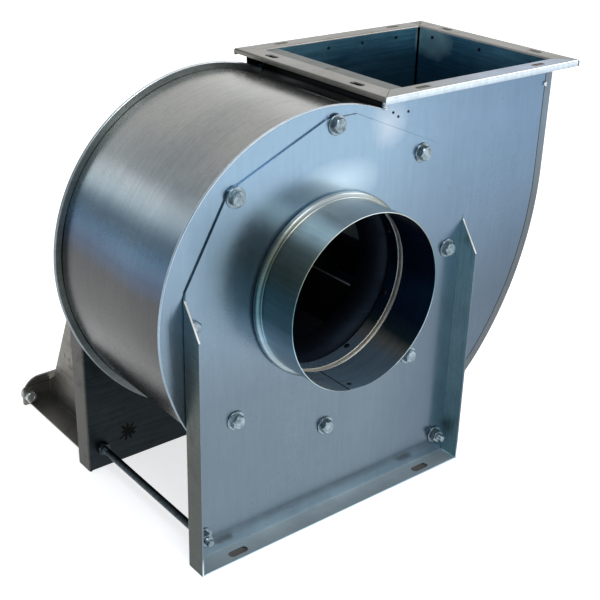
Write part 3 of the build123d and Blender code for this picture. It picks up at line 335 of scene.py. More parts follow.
# Front support's left flange: painted shade, darkest below and bluer above.
fold_shades = along(2, 0.03, 12.0, (-0.12, (0.44, 0.50, 0.44)), (-0.04, (0.50, 0.62, 0.62)),
                    (0.03, (0.72, 1.30, 1.62)))


def lip_shades(t, base):
    """Flange lip: painted highlight along its bend, greyer below, painted shade turning black at its right end."""
    base = tinted(t, base, t.axis(2), [(0.1755, (0.58, 0.62, 0.66)), (0.1790, (0.84, 0.87, 0.90)),
                                       (0.1820, (1.10, 1.08, 1.05))], 0.002, 60.0)
    return t.blend(t.remap(t.axis(0), 0.3160, 0.3172), base, rgb(0.02, 0.02, 0.02))


def blade_shades(t, base):
    """Blades darkened as painted shade, with a painted highlight along the inner edge of the one that faces the
    inlet's light.
    """
    edge = t.times(t.under(t.far(t.axis(0), t.axis(2)), (EYE - 0.7) * MM), t.over(t.axis(0), 0.0))
    edge = t.times(edge, t.under(t.math("ABSOLUTE", t.plus(t.axis(2), 0.040)), 0.010))
    edge = t.times(edge, t.remap(t.axis(1), 0.130, 0.060, 0.10, 0.9))
    return t.blend(edge, t.product(base, rgb(0.040, 0.045, 0.065)), rgb(0.80, 0.85, 0.85))


def disc_shades(t, base):
    """Disc darkened as painted shade, with painted light on its outer part at the side that the inlet's light
    reaches.
    """
    lit = t.times(t.remap(t.axis(0), 0.119, 0.124), t.under(t.axis(2), 0.0))
    lit = t.times(lit, t.remap(t.axis(2), -0.060, -0.050))
    return t.blend(lit, t.product(base, rgb(0.12, 0.13, 0.15)), rgb(0.80, 0.86, 0.80))


def plate_shades(t, base):
    """Front sheets, painted light and shade: lighter and bluer above, greyer below, darker to the right, painted
    light at the foot, and three painted reflections.
    """
    upper = t.remap(t.uneven(t.axis(2), 0.12, 4.0, 2.0), -0.07, 0.13)
    base = t.product(base, t.blend(upper, rgb(0.63, 0.59, 0.58), rgb(1.08, 1.12, 1.18)))
    base = tinted(t, base, t.axis(0), [(0.05, (1.0, 1.0, 1.0)), (0.13, (0.76, 0.78, 0.82)),
                                       (0.26, (0.56, 0.60, 0.66))], 0.05, 5.0)
    base = tinted(t, base, t.axis(2), [(-0.262, (4.4, 4.1, 3.8)), (-0.2480, (3.4, 3.2, 3.0)),
                                       (-0.238, (1.0, 1.0, 1.0))], 0.003, 20.0)
    # Painted reflections: a dark one left of the tube, a pale one along the tube's top and a pale one below the
    # outlet's left corner.
    for spot, squeeze, ragged, reach, strength, colour in (
            ((-0.120, 0.050), (1.0, 0.632), (0.016, 16.0), (0.050, 0.008), 0.50, (0.050, 0.090, 0.105)),
            ((0.005, 0.102), (0.469, 1.0), (0.0, 16.0), (0.026, 0.004), 0.55, (0.62, 0.78, 0.88)),
            ((0.066, 0.150), (1.0, 1.0), (0.012, 60.0), (0.026, 0.004), 0.32, (0.80, 0.82, 0.86))):
        away = t.far(t.times(t.minus(t.axis(0), spot[0]), squeeze[0]),
                     t.times(t.minus(t.axis(2), spot[1]), squeeze[1]))
        mask = t.remap(t.uneven(away, *ragged), *reach, 0.0, strength)
        base = t.blend(mask, base, rgb(*colour))
    return base


def wrap_shades(t, base):
    """Painted reflections darker below, and painted shadow that deepens toward the outlet's wall and the back."""
    high = t.times(t.remap(t.axis(2), 0.13, 0.15), t.remap(t.axis(1), 0.160, 0.204, 0.25, 0.95))
    near = t.remap(t.uneven(t.axis(0), 0.014, 14.0), 0.026, 0.052)
    return t.blend(t.times(near, high), wrap_reflections(t, base), rgb(0.045, 0.038, 0.032))


def bend_shades(t, base):
    """Painted shadow that turns black toward the top of the bend under the flange."""
    return t.blend(t.remap(t.axis(2), 0.1602, 0.1632), base, rgb(0.006, 0.006, 0.006))


def inside_shades(t, base):
    """Casing's inside: painted shade darker below, painted light toward the top and behind the inlet, a painted glare
    patch near the right corner, a dark corner.
    """
    base = t.blend(t.remap(t.axis(2), 0.175, 0.060, 0.0, 0.8), base, rgb(0.012, 0.045, 0.095))
    base = tinted(t, base, t.axis(2), [(0.150, (1.0, 1.0, 1.0)), (0.165, (1.25, 1.2, 1.2)),
                                       (0.178, (1.7, 1.5, 1.4))], 0.010, 25.0)
    behind = t.times(t.remap(t.axis(2), -0.095, -0.080), t.under(t.axis(2), 0.0))
    base = t.blend(t.times(behind, t.over(t.axis(1), 0.200)), base, rgb(0.80, 0.86, 0.80))
    away = t.far(t.times(t.minus(t.axis(0), 0.2942), 4.0), t.times(t.minus(t.axis(1), 0.188), 0.6),
                 t.minus(t.axis(2), 0.170))
    base = t.blend(t.remap(t.uneven(away, 0.02, 50.0), 0.026, 0.012), base, rgb(0.75, 1.0, 1.0))
    corner = t.times(t.over(t.axis(0), 0.2925), t.over(t.axis(1), 0.2045))
    return t.blend(corner, base, rgb(0.004, 0.006, 0.008))


def splash(t, base):
    """Dark splash with rays on the rear support."""
    x, z = t.plus(t.axis(0), 0.1191), t.plus(t.axis(2), 0.2245)
    rays = t.times(t.math("SINE", t.times(t.math("ARCTAN2", z, x), 9.0)), 0.0035)
    edge = t.uneven(t.plus(rays, 0.0085), 0.014, 180.0)
    return t.blend(t.remap(t.minus(edge, t.far(x, z)), 0.0, 0.0012), base, rgb(0.001, 0.002, 0.002))


ACROSS, ROUND, UPRIGHT = (40.0, 3.0, 3.0), (3.0, 40.0, 3.0), (60.0, 60.0, 3.0)
# Front sheets, with painted light, shade and reflections from plate_shades.
PLATE = galvanised("plate", (0.245, 0.345, 0.430), (0.212, 0.305, 0.385), 0.24, 0.04, ACROSS, 0.06,
                   extra=plate_shades)
# Front seam's band and step on the right part: painted shade, the step near black.
BAND = galvanised("band", (0.112, 0.128, 0.140), (0.082, 0.096, 0.108), 0.30, 0.04, ACROSS, 0.12,
                  extra=band_shades)
STEP = galvanised("band_step", (0.040, 0.046, 0.052), (0.025, 0.030, 0.034), 0.40, 0.04)
# Painted highlight, near white: the front support's sloped flange edges and the cross bar's left bolt.
EDGE_HIGHLIGHT = galvanised("edge_highlight", (0.74, 0.76, 0.75), (0.60, 0.62, 0.60), 0.35, 0.04)
# Wrap, with painted reflections and painted shadow from wrap_shades.
WRAP = galvanised("wrap", (0.600, 0.595, 0.560), (0.470, 0.480, 0.480), 0.26, 0.06, ROUND, 0.10,
                  extra=wrap_shades)
# Bend under the flange: sheet with painted shadow from bend_shades.
UNDER = galvanised("under_flange", (0.52, 0.51, 0.48), (0.42, 0.41, 0.39), 0.4, extra=bend_shades)
# Painted shade, near black: gaps and undersides in shadow, and a sheet that fills a shaded gap.
DEEP_SHADE = galvanised("deep_shade", (0.016, 0.016, 0.016), (0.006, 0.006, 0.006), 0.6)
# Casing's inside, with painted shade and light from inside_shades.
OUTLET_INSIDE = galvanised("outlet_inside", (0.170, 0.440, 0.600), (0.050, 0.190, 0.310), 0.34, 0.05, dirt=0.3,
                           dirt_colour=(0.01, 0.05, 0.10), extra=inside_shades)
RIM = galvanised("rim", (0.230, 0.260, 0.260), (0.140, 0.160, 0.160), 0.36, 0.04, dirt=0.5)
# Painted highlight along the side plates' rolled rims.
EDGE = galvanised("edge", (0.92, 0.96, 1.00), (0.62, 0.72, 0.80), 0.34, 0.04, dirt=0.15, extra=front_edge_shades)
REAR_EDGE = galvanised("rear_edge", (0.90, 0.95, 0.98), (0.62, 0.68, 0.72), 0.34, 0.04, dirt=0.2,
                       extra=rear_edge_shades)
FLANGE = galvanised("flange", (0.480, 0.465, 0.440), (0.330, 0.320, 0.295), 0.38, dirt=0.6,
                    dirt_colour=(0.22, 0.20, 0.16))
# Flange's front lip and front strip's top: painted highlight, painted shade and painted bluish reflection.
LIP = galvanised("lip", (0.780, 0.850, 0.900), (0.560, 0.650, 0.710), streak=(30.0, 3.0, 3.0), dirt=0.2,
                 extra=lip_shades)
FRONT_STRIP = galvanised("front_strip", (0.480, 0.465, 0.440), (0.330, 0.320, 0.295), 0.38, dirt=0.6,
                         dirt_colour=(0.22, 0.20, 0.16), extra=strip_shades)
# Dust-brown sheet darkened as painted shade: the left strip's outer lip and the front strip's inner leg.
DUST_AND_SHADE = galvanised("dust_and_shade", (0.260, 0.245, 0.210), (0.130, 0.120, 0.100), 0.45, dirt=0.7,
                   dirt_colour=(0.05, 0.045, 0.035))
# Inlet tube: painted reflections and light outside, on the bead, in the groove and inside.
TUBE = galvanised("tube", (0.420, 0.465, 0.455), (0.330, 0.385, 0.385), 0.34, 0.05, ROUND, extra=tube_shades)
BEAD = galvanised("bead", (0.270, 0.310, 0.315), (0.190, 0.225, 0.230), 0.34, 0.04, dirt=0.15, extra=tube_shades)
GROOVE = galvanised("groove", (0.420, 0.460, 0.460), (0.300, 0.330, 0.330), 0.55, 0.04, dirt=0.15,
                    extra=groove_shades)
TUBE_INSIDE = galvanised("tube_inside", (0.110, 0.170, 0.240), (0.070, 0.115, 0.170), 0.24, 0.04, ROUND,
                         dirt_colour=(0.01, 0.012, 0.015), extra=tube_inside_shades, metal=0.45)
# Painted shade, near black: the inlet bell and the impeller's shroud deep inside.
INNER = galvanised("inside", (0.012, 0.018, 0.030), (0.005, 0.009, 0.016), 0.55, dirt=0.6,
                   dirt_colour=(0.006, 0.008, 0.010))
CUTOFF = galvanised("cutoff", (0.240, 0.260, 0.250), (0.130, 0.150, 0.150), 0.40, dirt=0.6,
                    dirt_colour=(0.06, 0.06, 0.055))
# Front support's flanges: the left one's outside darkened as painted shade, the right one's inside paler teal as
# painted reflection.
SIDE = galvanised("side_fold", (0.170, 0.175, 0.170), (0.095, 0.100, 0.100), 0.38, dirt=0.6,
                  dirt_colour=(0.05, 0.045, 0.04), extra=fold_shades)
SHADE = galvanised("inner_fold", (0.390, 0.590, 0.610), (0.220, 0.370, 0.400), 0.34, streak=UPRIGHT)
# Rear support's front face: painted shade, with a real dark splash.
DIM = galvanised("dim", (0.028, 0.036, 0.040), (0.009, 0.015, 0.019), 0.42, dirt=0.6,
                 dirt_colour=(0.008, 0.007, 0.006), extra=splash)
REAR_SHEET = galvanised("rear_sheet", (0.300, 0.325, 0.335), (0.235, 0.255, 0.262), 0.34, 0.05, dirt=0.3)
# Rear support's left flange: dark brown, grime and painted shade.
SUPPORT = galvanised("rear_support", (0.078, 0.077, 0.068), (0.042, 0.042, 0.037), 0.42, dirt=0.7,
                     dirt_colour=(0.03, 0.028, 0.022))
# Front support: its upward top edges lighter as painted light, the right flange's bend darker as painted shade.
TOP_EDGE = galvanised("top_edge", (0.42, 0.53, 0.62), (0.36, 0.46, 0.54), 0.45, 0.04)
FOLD = galvanised("fold", (0.110, 0.170, 0.185), (0.070, 0.115, 0.130), 0.45, 0.04)
FOOT = galvanised("foot", (0.370, 0.440, 0.470), (0.260, 0.315, 0.345), 0.50, 0.05, dirt=0.5,
                  dirt_colour=(0.13, 0.13, 0.12), metal=0.35)
# Left brace and cross bar on faces toward the left, front and top: dark brown, grime and painted shade.
BRACE = galvanised("brace", (0.270, 0.255, 0.225), (0.130, 0.122, 0.105), 0.44, dirt=0.8,
                   dirt_colour=(0.03, 0.026, 0.02))
# Blades and disc: painted shade and light from blade_shades and disc_shades.
BLADE = galvanised("blade", (0.620, 0.600, 0.540), (0.460, 0.445, 0.400), 0.50, 0.04, extra=blade_shades, metal=0.5)
BACK_DISC = galvanised("disc", (0.300, 0.300, 0.290), (0.220, 0.220, 0.210), 0.50, 0.04, extra=disc_shades,
                       metal=0.5)
BOLT = zinc("zinc_bolt", (0.32, 0.40, 0.45), (0.11, 0.15, 0.17))
ROD = zinc("zinc_rod", (0.060, 0.080, 0.090), (0.020, 0.028, 0.034), 0.35)
DOT = zinc("rivet_dark", (0.030, 0.038, 0.045), (0.012, 0.016, 0.020), 0.45)
RIVET = zinc("rivet_head", (0.24, 0.27, 0.29), (0.08, 0.09, 0.10), 0.35)
WELD = zinc("weld_bead", (0.88, 0.92, 0.96), (0.46, 0.52, 0.56), 0.35)
STEEL = zinc("machined_steel", (0.20, 0.20, 0.20), (0.10, 0.10, 0.11), 0.30)
CORE = zinc("laminated_core", (0.16, 0.15, 0.145), (0.08, 0.075, 0.07), 0.45)
MOTOR = painted("motor_paint", (0.095, 0.130, 0.165), (0.35, 0.36, 0.37))
COWL = painted("cowl_paint", (0.045, 0.055, 0.065), (0.30, 0.30, 0.31), 0.38)
BLACK = plastic("black_plastic", (0.018, 0.018, 0.020))


# Mesh helpers
def placed(point):
    """Point in millimetres of the drawing, as metres of the frame."""
    return Vector((point[0], point[1] - ORIGIN_DEPTH, point[2])) * MM


def new_object(name, data):
    piece = bpy.data.objects.new(name, data)
    bpy.context.collection.objects.link(piece)
    return piece


def from_points(name, points, faces):
    mesh = bpy.data.meshes.new(name)
    mesh.from_pydata([placed(point) for point in points], [], faces)
    return new_object(name, mesh)


def reworked(mesh, merge=False, outward=False):
    """Merges a mesh's doubled points, or turns its faces outward."""
    work = bmesh.new()
    work.from_mesh(mesh)
    if merge:
        bmesh.ops.remove_doubles(work, verts=work.verts, dist=1e-6)
    if outward:
        bmesh.ops.recalc_face_normals(work, faces=work.faces)
    work.to_mesh(mesh)
    work.free()


def evaluated(piece):
    """Mesh of an object with its modifiers applied."""
    return bpy.data.meshes.new_from_object(piece.evaluated_get(bpy.context.evaluated_depsgraph_get()))


def baked(piece):
    """Applies the piece's modifiers."""
    mesh = evaluated(piece)
    piece.modifiers.clear()
    piece.data = mesh
    return piece


def bored(piece, cutters):
    """Cuts the cutters out of a piece and removes them."""
    for cutter in cutters:
        cut = piece.modifiers.new("hole", "BOOLEAN")
        cut.operation, cut.solver = "DIFFERENCE", "EXACT"
        cut.object = cutter
    baked(piece)
    for cutter in cutters:
        bpy.data.objects.remove(cutter)
    return piece


def bevel(piece, width, segments, angle, clamp=False):
    """Rounds the edges that are sharper than an angle in degrees."""
    rounding = piece.modifiers.new("bevel", "BEVEL")
    rounding.width = width * MM
    rounding.segments = segments
    rounding.limit_method = "ANGLE"
    rounding.angle_limit = math.radians(angle)
    rounding.use_clamp_overlap = clamp


def thicken(piece, thickness, offset):
    """Gives a surface a sheet's thickness."""
    thick = piece.modifiers.new("sheet", "SOLIDIFY")
    thick.thickness = thickness * MM
    thick.offset = offset
    return thick


def joined(name, parts):
    """One object from several, each part's mesh already in place."""
    work = bmesh.new()
    for part in parts:
        work.from_mesh(part.data)
        mesh = part.data
        bpy.data.objects.remove(part)
        if mesh.users == 0:
            bpy.data.meshes.remove(mesh)
    mesh = bpy.data.meshes.new(name)
    work.to_mesh(mesh)
    work.free()
    return new_object(name, mesh)


def dress(piece, material, *nodes, body="casing", angle=35.0):
    """Gives a piece its material, shading and body, and hides the nodes that it stands for."""
    piece.data.materials.clear()
    piece.data.materials.append(material)
    piece.data.shade_smooth()
    piece.data.set_sharp_from_angle(angle=math.radians(angle))
    piece.modifiers.new("normals", "WEIGHTED_NORMAL").keep_sharp = True
    baked(piece)
    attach(piece, body)
    if nodes:
        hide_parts(*nodes)
    return piece


def finish_faces(piece, material, chosen):
    """Gives the faces that a test chooses another finish. Their places are in metres."""
    piece.data.materials.append(material)
    index = len(piece.data.materials) - 1
    for face in piece.data.polygons:
        if chosen(face):
            face.material_index = index


def band_faces(loops, count, closed):
    """Faces between each loop of points and the next, with a count of points in each loop."""
    faces = []
    for loop in range(loops if closed else loops - 1):
        here, there = loop * count, (loop + 1) % loops * count
        faces += [(here + index, there + index, there + (index + 1) % count, here + (index + 1) % count)
                  for index in range(count)]
    return faces


def lathe(name, profile, steps=160):
    """Turned piece about the impeller's axis, from (radius, depth) points."""
    points = []
    for step in range(steps):
        angle = 2 * math.pi * step / steps
        points += [(radius * math.cos(angle), depth, radius * math.sin(angle)) for radius, depth in profile]
    return from_points(name, points, band_faces(steps, len(profile), True))


def arc(centre, radius, start, end, steps):
    """Points of an arc in a profile."""
    return [on_circle(radius, start + (end - start) * step / steps, Vector(centre)) for step in range(steps + 1)]


def scroll_path(start, top, step=1.5):
    """Points and outward normals of the scroll line, from the outlet's left side round to its right top."""
    first = math.degrees(math.acos((start - CENTRE_1.x) / RADIUS_1))
    path = []
    for centre, radius, low, high in ((CENTRE_1, RADIUS_1, first, JOINT_1),
                                      (CENTRE_2, RADIUS_2, JOINT_1, JOINT_2),
                                      (CENTRE_3, RADIUS_3, JOINT_2, 360.0)):
        count = math.ceil((high - low) / step)
        for angle in (low + (high - low) * index / count for index in range(count)):
            path.append((on_circle(radius, angle, centre), on_circle(1.0, angle)))
    for share in range(13):
        height = CENTRE_3.y + (top - CENTRE_3.y) * share / 12
        path.append((Vector((CENTRE_3.x + RADIUS_3, height)), Vector((1.0, 0.0))))
    return path


def sweep(name, path, section, ripple=0.0):
    """Strip along a path, from (growth, depth) points of a closed section."""
    points = []
    count = len(section)
    for spot, normal in path:
        for growth, depth in section:
            push = ripple * noise.noise(Vector((spot.x, depth, spot.y)) / 70.0) if ripple else 0.0
            place = spot + normal * (growth + push)
            points.append((place.x, depth, place.y))
    faces = []
    for step in range(len(path) - 1):
        here, there = step * count, (step + 1) * count
        for index in range(count):
            after = (index + 1) % count
            faces.append((here + index, here + after, there + after, there + index))
    faces.append(tuple(range(count)))
    faces.append(tuple(reversed(range((len(path) - 1) * count, len(path) * count))))
    strip = from_points(name, points, faces)
    reworked(strip.data, outward=True)
    return strip


def plate(name, outline, holes, front, back):
    """Flat sheet square to the impeller's axis, with holes."""
    curve = bpy.data.curves.new(name, "CURVE")
    curve.dimensions = "2D"
    curve.fill_mode = "BOTH"
    for loop in [outline] + holes:
        spline = curve.splines.new("POLY")
        spline.points.add(len(loop) - 1)
        for knot, spot in zip(spline.points, loop):
            knot.co = (spot[0] * MM, spot[1] * MM, 0.0, 1.0)
        spline.use_cyclic_u = True
    curve.extrude = (back - front) / 2 * MM
    holder = new_object(name, curve)
    mesh = evaluated(holder)
    bpy.data.objects.remove(holder)
    middle = ((front + back) / 2 - ORIGIN_DEPTH) * MM
    mesh.transform(Matrix.Translation((0.0, middle, 0.0)) @ Matrix.Rotation(math.pi / 2, 4, "X"))
    reworked(mesh, merge=True)
    return new_object(name, mesh)


def box_outline(left, right, low, high):
    """Corners of an upright rectangle."""
    return [(left, low), (right, low), (right, high), (left, high)]


def ring(spot, radius, steps=24):
    """Points of a round hole."""
    return [on_circle(radius, 360.0 * step / steps, Vector(spot)) for step in range(steps)]


def folded(name, panels, thickness, outside, bend=2.5, cuts=(), edge=0.35):
    """Sheet folded from flat panels on its convex side, with rounded bends, holes and broken edges.

    The first panel's convex side faces along the direction outside."""
    points, faces = [], []
    for panel in panels:
        faces.append(tuple(range(len(points), len(points) + len(panel))))
        points += panel
    piece = from_points(name, points, faces)
    reworked(piece.data, merge=True, outward=True)
    if piece.data.polygons[0].normal.dot(Vector(outside)) < 0.0:
        piece.data.flip_normals()
    bevel(piece, bend, 5, 20.0)
    thicken(piece, thickness, -1.0).use_even_offset = True
    baked(piece)
    bored(piece, cuts)
    bevel(piece, edge, 2, 50.0)
    return baked(piece)


def drill(spots, radius, plane, start, end, length=0.0, steps=36):
    """Cutter with one rod or slot per spot. The plane names the axis that it is drilled along."""
    points, faces = [], []
    for u, v in spots:
        first = len(points)
        rim = []
        for step in range(steps):
            angle = 2 * math.pi * (step + 0.5) / steps
            shift = math.copysign(length / 2 - radius, math.cos(angle)) if length else 0.0
            rim.append((u + shift + radius * math.cos(angle), v + radius * math.sin(angle)))
        for depth in (start, end):
            for a, b in rim:
                points.append({"Y": (a, depth, b), "X": (depth, a, b), "Z": (a, b, depth),
                               "ZY": (b - v + u, a - u + v, depth)}[plane])
        for step in range(steps):
            after = (step + 1) % steps
            faces.append((first + step, first + after, first + steps + after, first + steps + step))
        faces.append(tuple(first + step for step in reversed(range(steps))))
        faces.append(tuple(first + steps + step for step in range(steps)))
    cutter = from_points("cutter", points, faces)
    reworked(cutter.data, outward=True)
    return cutter


# Fasteners
def hexagon(flats, height, chamfer, bore=0.0, both=False):
    """Rings of a hexagon with turned chamfers, along +Z from 0 to its height."""
    steps, flat, sixth = 48, flats / 2, math.pi / 3
    face, corner = flat * 0.94, flat / math.cos(sixth / 2)
    angles = [2 * math.pi * step / steps for step in range(steps)]
    reaches = [flat / math.cos((angle + sixth / 2) % sixth - sixth / 2) for angle in angles]
    drops = [chamfer * (reach - face) / (corner - face) for reach in reaches]

    def shaped(levels):
        return [(reach * math.cos(angle), reach * math.sin(angle), level)
                for reach, angle, level in zip(reaches, angles, levels)]

    def even(radius, level):
        return [(radius * math.cos(angle), radius * math.sin(angle), level) for angle in angles]

    rings = [even(bore, 0.0)] if bore else []
    rings += [even(face, 0.0), shaped(drops)] if both else [shaped([0.0] * steps)]
    rings += [shaped([height - drop for drop in drops]), even(face, height)]
    rings += [even(bore, height)] if bore else [even(flat * 0.55, height), even(flat * 0.50, height - 0.25)]
    return rings


def rings_mesh(work, rings, matrix, close=False):
    """Adds rings joined by faces to a mesh, moved by a matrix, with caps unless they close on themselves."""
    rows = [[work.verts.new(matrix @ Vector(point)) for point in row] for row in rings]
    count = len(rows[0])
    for low, high in list(zip(rows, rows[1:])) + ([(rows[-1], rows[0])] if close else []):
        for index in range(count):
            after = (index + 1) % count
            work.faces.new((low[index], low[after], high[after], high[index]))
    if not close:
        work.faces.new(rows[0][::-1])
        work.faces.new(rows[-1])


def round_rings(profile, steps=32):
    """Rings of a turned shape along +Z, from (radius, height) points."""
    turns = [2 * math.pi * step / steps for step in range(steps)]
    return [[(radius * math.cos(turn), radius * math.sin(turn), height) for turn in turns]
            for radius, height in profile]


def thread(radius, end, pitch=1.25, depth=0.55):
    """Profile of a threaded stretch from height 0, with a chamfered tip."""
    profile = []
    height = 0.0
    while height < end - pitch:
        profile += [(radius - depth, height), (radius, height + pitch * 0.5)]
        height += pitch
    return profile + [(radius - depth, end - 0.6), (radius - depth - 0.4, end)]


def turn_to(spot, direction, twist=0.0):
    """Matrix that stands a fastener on a spot, its +Z along a direction, in metres of the frame."""
    rotation = Vector(direction).to_track_quat("Z", "Y").to_matrix().to_4x4()
    return Matrix.Translation(placed(spot)) @ rotation @ Matrix.Rotation(twist, 4, "Z") @ Matrix.Scale(MM, 4)


def mesh_of(name, work):
    bmesh.ops.recalc_face_normals(work, faces=work.faces)
    mesh = bpy.data.meshes.new(name)
    work.to_mesh(mesh)
    work.free()
    return new_object(name, mesh)


def seats(spots, depth, direction, *more):
    """Fasteners' seats at a depth for spots (x, z): place, direction and what else the fastener needs."""
    return [((x, depth, z), direction) + more for x, z in spots]


def radial(angle, radius, depth, way, *more):
    """Seat on a tube about the impeller's axis, which faces away from it (1) or toward it (-1)."""
    spot, away = on_circle(radius, angle), on_circle(way, angle)
    return ((spot.x, depth, spot.y), (away.x, 0.0, away.y)) + more


chance = random.Random(7)


def bolt_heads(name, items, flats=13.0, height=5.3, shank=4.0):
    """Hexagon bolts: each item is a spot, a direction, a seat height and the shank's length behind it."""
    work = bmesh.new()
    for spot, direction, seat, length in items:
        stand = turn_to(spot, direction, chance.uniform(0.0, math.pi / 3))
        rings_mesh(work, [[(x, y, z + seat) for x, y, z in row] for row in hexagon(flats, height, 1.3)], stand)
        plain = seat - length * 0.45
        body = [(shank, seat), (shank, plain)]
        body += [(radius, plain - low) for radius, low in thread(shank, length * 0.55)]
        rings_mesh(work, round_rings(body), stand)
    return mesh_of(name, work)


def washer_set(name, items, inner=BOLT_HOLE, outer=10.0, thick=WASHER):
    """Washers with rounded edges, each with a spot and a direction."""
    work = bmesh.new()
    profile = [(inner, 0.0), (outer - 0.3, 0.0), (outer, 0.3), (outer, thick - 0.4), (outer - 0.4, thick),
               (inner + 0.2, thick), (inner, thick - 0.2)]
    for spot, direction in items:
        rings_mesh(work, round_rings(profile, 48), turn_to(spot, direction), close=True)
    return mesh_of(name, work)


def nut_set(name, items):
    """M8 nuts with chamfers on both sides, each with a spot and a direction."""
    work = bmesh.new()
    for spot, direction in items:
        stand = turn_to(spot, direction, chance.uniform(0.0, math.pi / 3))
        rings_mesh(work, hexagon(13.0, 6.5, 1.1, 4.05, True), stand, close=True)
    return mesh_of(name, work)


def rivet_set(name, items, head=3.2, height=1.1, stem=1.6):
    """Blind rivets: domed head with a dimple, stem and small shop head, per spot, direction and grip."""
    work = bmesh.new()
    dome = [(stem, 0.0), (head, 0.0), (head, 0.25), (head * 0.9, height * 0.6), (head * 0.66, height * 0.92),
            (head * 0.36, height), (head * 0.30, height * 0.55)]
    for spot, direction, grip in items:
        shop = [(stem * 0.6, -grip - height), (stem * 1.1, -grip - height * 0.8), (stem * 1.2, -grip - 0.3),
                (stem * 1.1, -grip), (stem * 0.98, -grip)]
        rings_mesh(work, round_rings(shop + dome, 20), turn_to(spot, direction))
    return mesh_of(name, work)


washered = [spot for spot in BOLT_SPOTS if spot.x > SUPPORT_LEFT + 12.0]
items = []
for spot in BOLT_SPOTS:
    seat = WASHER if spot in washered else 0.0
    for depth, direction in ((0.0, FRONT), (REAR_FACE, REAR)):
        items += seats([spot], depth, direction, seat, 10.7 + seat)
dress(bolt_heads("casing_bolt_set", items), BOLT, "casing_bolts")
washers = seats(washered, 0.0, FRONT) + seats(washered, REAR_FACE, REAR)
dress(washer_set("casing_washer_set", washers), BOLT, "casing_washers")
nuts = seats(BOLT_SPOTS, INSIDE_FRONT, REAR) + seats(BOLT_SPOTS, INSIDE_BACK, FRONT)
dress(nut_set("casing_nut_set", nuts), BOLT, "casing_nuts")

# Side plates with their rolled seam
RIM_START = WRAP_START - 7.0
ROLL, ROLL_MIDDLE, SEAM_HEIGHT = 1.8, 1.45, 6.2
rim_path = scroll_path(RIM_START, WALL_TOP)
rim_section = [(-3.9, 1.18), (-3.9, 0.02), (-3.65, -0.25), (-3.2, -0.35), (SEAM_HEIGHT, -0.35)]
rim_section += [(SEAM_HEIGHT + ROLL * math.sin(turn), ROLL_MIDDLE - ROLL * math.cos(turn))
                for turn in (math.pi * step / 8 for step in range(1, 8))]
rim_section += [(SEAM_HEIGHT, 3.25), (0.5, 3.25), (0.3, 3.0), (0.3, 1.3), (-0.2, 1.18)]


def side_plate(name, outside, inward, hole):
    """Side plate's flat sheet with the rolled seam that holds the wrap, and how many faces are flat."""
    outline = [Vector((RIM_START, WALL_TOP))] + [spot + normal * -3.7 for spot, normal in rim_path]
    holes = [ring((0.0, 0.0), hole, 96)] + [ring(spot, BOLT_HOLE) for spot in BOLT_SPOTS]
    flat = plate(name + "_flat", outline, holes, *sorted((outside, outside + inward * SHEET)))
    flat_count = len(flat.data.polygons)
    seam = sweep(name + "_seam", rim_path, [(growth, outside + inward * depth) for growth, depth in rim_section])
    face = (outside - ORIGIN_DEPTH) * MM
    for vertex in seam.data.vertices:
        raised = (face - vertex.co.y) * inward
        if raised > 0.0:
            share = min(max((vertex.co.x - 0.08) / 0.14, 0.12), 1.0)
            vertex.co.y = face - raised * share * inward
    return joined(name, [flat, seam]), flat_count


def seam_sides(first, low, high, beyond=-1.0):
    """Test for the faces on some sides of a side plate's seam, right of a place."""
    return lambda face: (face.index >= first and low <= (face.index - first) % len(rim_section) < high
                         and face.center.x > beyond)


side, first = side_plate("front_casing_side", CASING_FRONT, 1, 148.0)
dress(side, PLATE, "front_side_plate")
# Painted highlight on the rolled rim; painted shade on the seam's step and band on the right part.
finish_faces(side, EDGE, seam_sides(first, 5, 12))
finish_faces(side, STEP, seam_sides(first, 0, 3, 0.200))
finish_faces(side, BAND, seam_sides(first, 3, 5, 0.200))
finish_faces(side, OUTLET_INSIDE, lambda face: face.normal.y > 0.9 and 0.01115 < face.center.y < 0.01122)
side, first = side_plate("rear_casing_side", CASING_BACK, -1, 75.0)
dress(side, REAR_SHEET, "rear_side_plate")
# Painted highlight on the rolled rim.
finish_faces(side, REAR_EDGE, seam_sides(first, 5, 12))
finish_faces(side, RIM, lambda face: face.normal.y < -0.9 and face.center.y < 0.2060)
finish_faces(side, OUTLET_INSIDE, lambda face: face.normal.y < -0.9 and 0.20675 < face.center.y < 0.20685)

# Scroll wrap: a slightly wavy strip, with another finish inside
depths = [INSIDE_FRONT + (INSIDE_BACK - INSIDE_FRONT) * step / 20 for step in range(21)]
wrap_section = [(0.0, depth) for depth in depths] + [(-SHEET, depth) for depth in reversed(depths)]
strip = dress(sweep("scroll_strip", scroll_path(WRAP_START, WALL_TOP), wrap_section, 0.5), WRAP, "scroll_wrap")
finish_faces(strip, OUTLET_INSIDE,
             lambda face: len(depths) <= face.index % len(wrap_section) < len(wrap_section) - 1)

# Turned-up bend between the wrap and the outlet's wall
BEND = 10.0
bend_x = WRAP_START - BEND
bend_z = CENTRE_1.y + math.sqrt((RADIUS_1 + BEND) ** 2 - (bend_x - CENTRE_1.x) ** 2)
low_angle = math.degrees(math.atan2(bend_z - CENTRE_1.y, bend_x - CENTRE_1.x)) + 180.0
bend = arc((bend_x, bend_z), BEND, low_angle, 360.0, 12) + arc((bend_x, bend_z), BEND + 0.6, 360.0, low_angle, 12)
points = [(spot.x, depth, spot.y) for depth in (INSIDE_FRONT, INSIDE_BACK) for spot in bend]
count = len(bend)
faces = [(i, (i + 1) % count, (i + 1) % count + count, i + count) for i in range(count)]
faces += [tuple(range(count)), tuple(reversed(range(count, 2 * count)))]
dress(from_points("cutoff_bend", points, faces), UNDER)

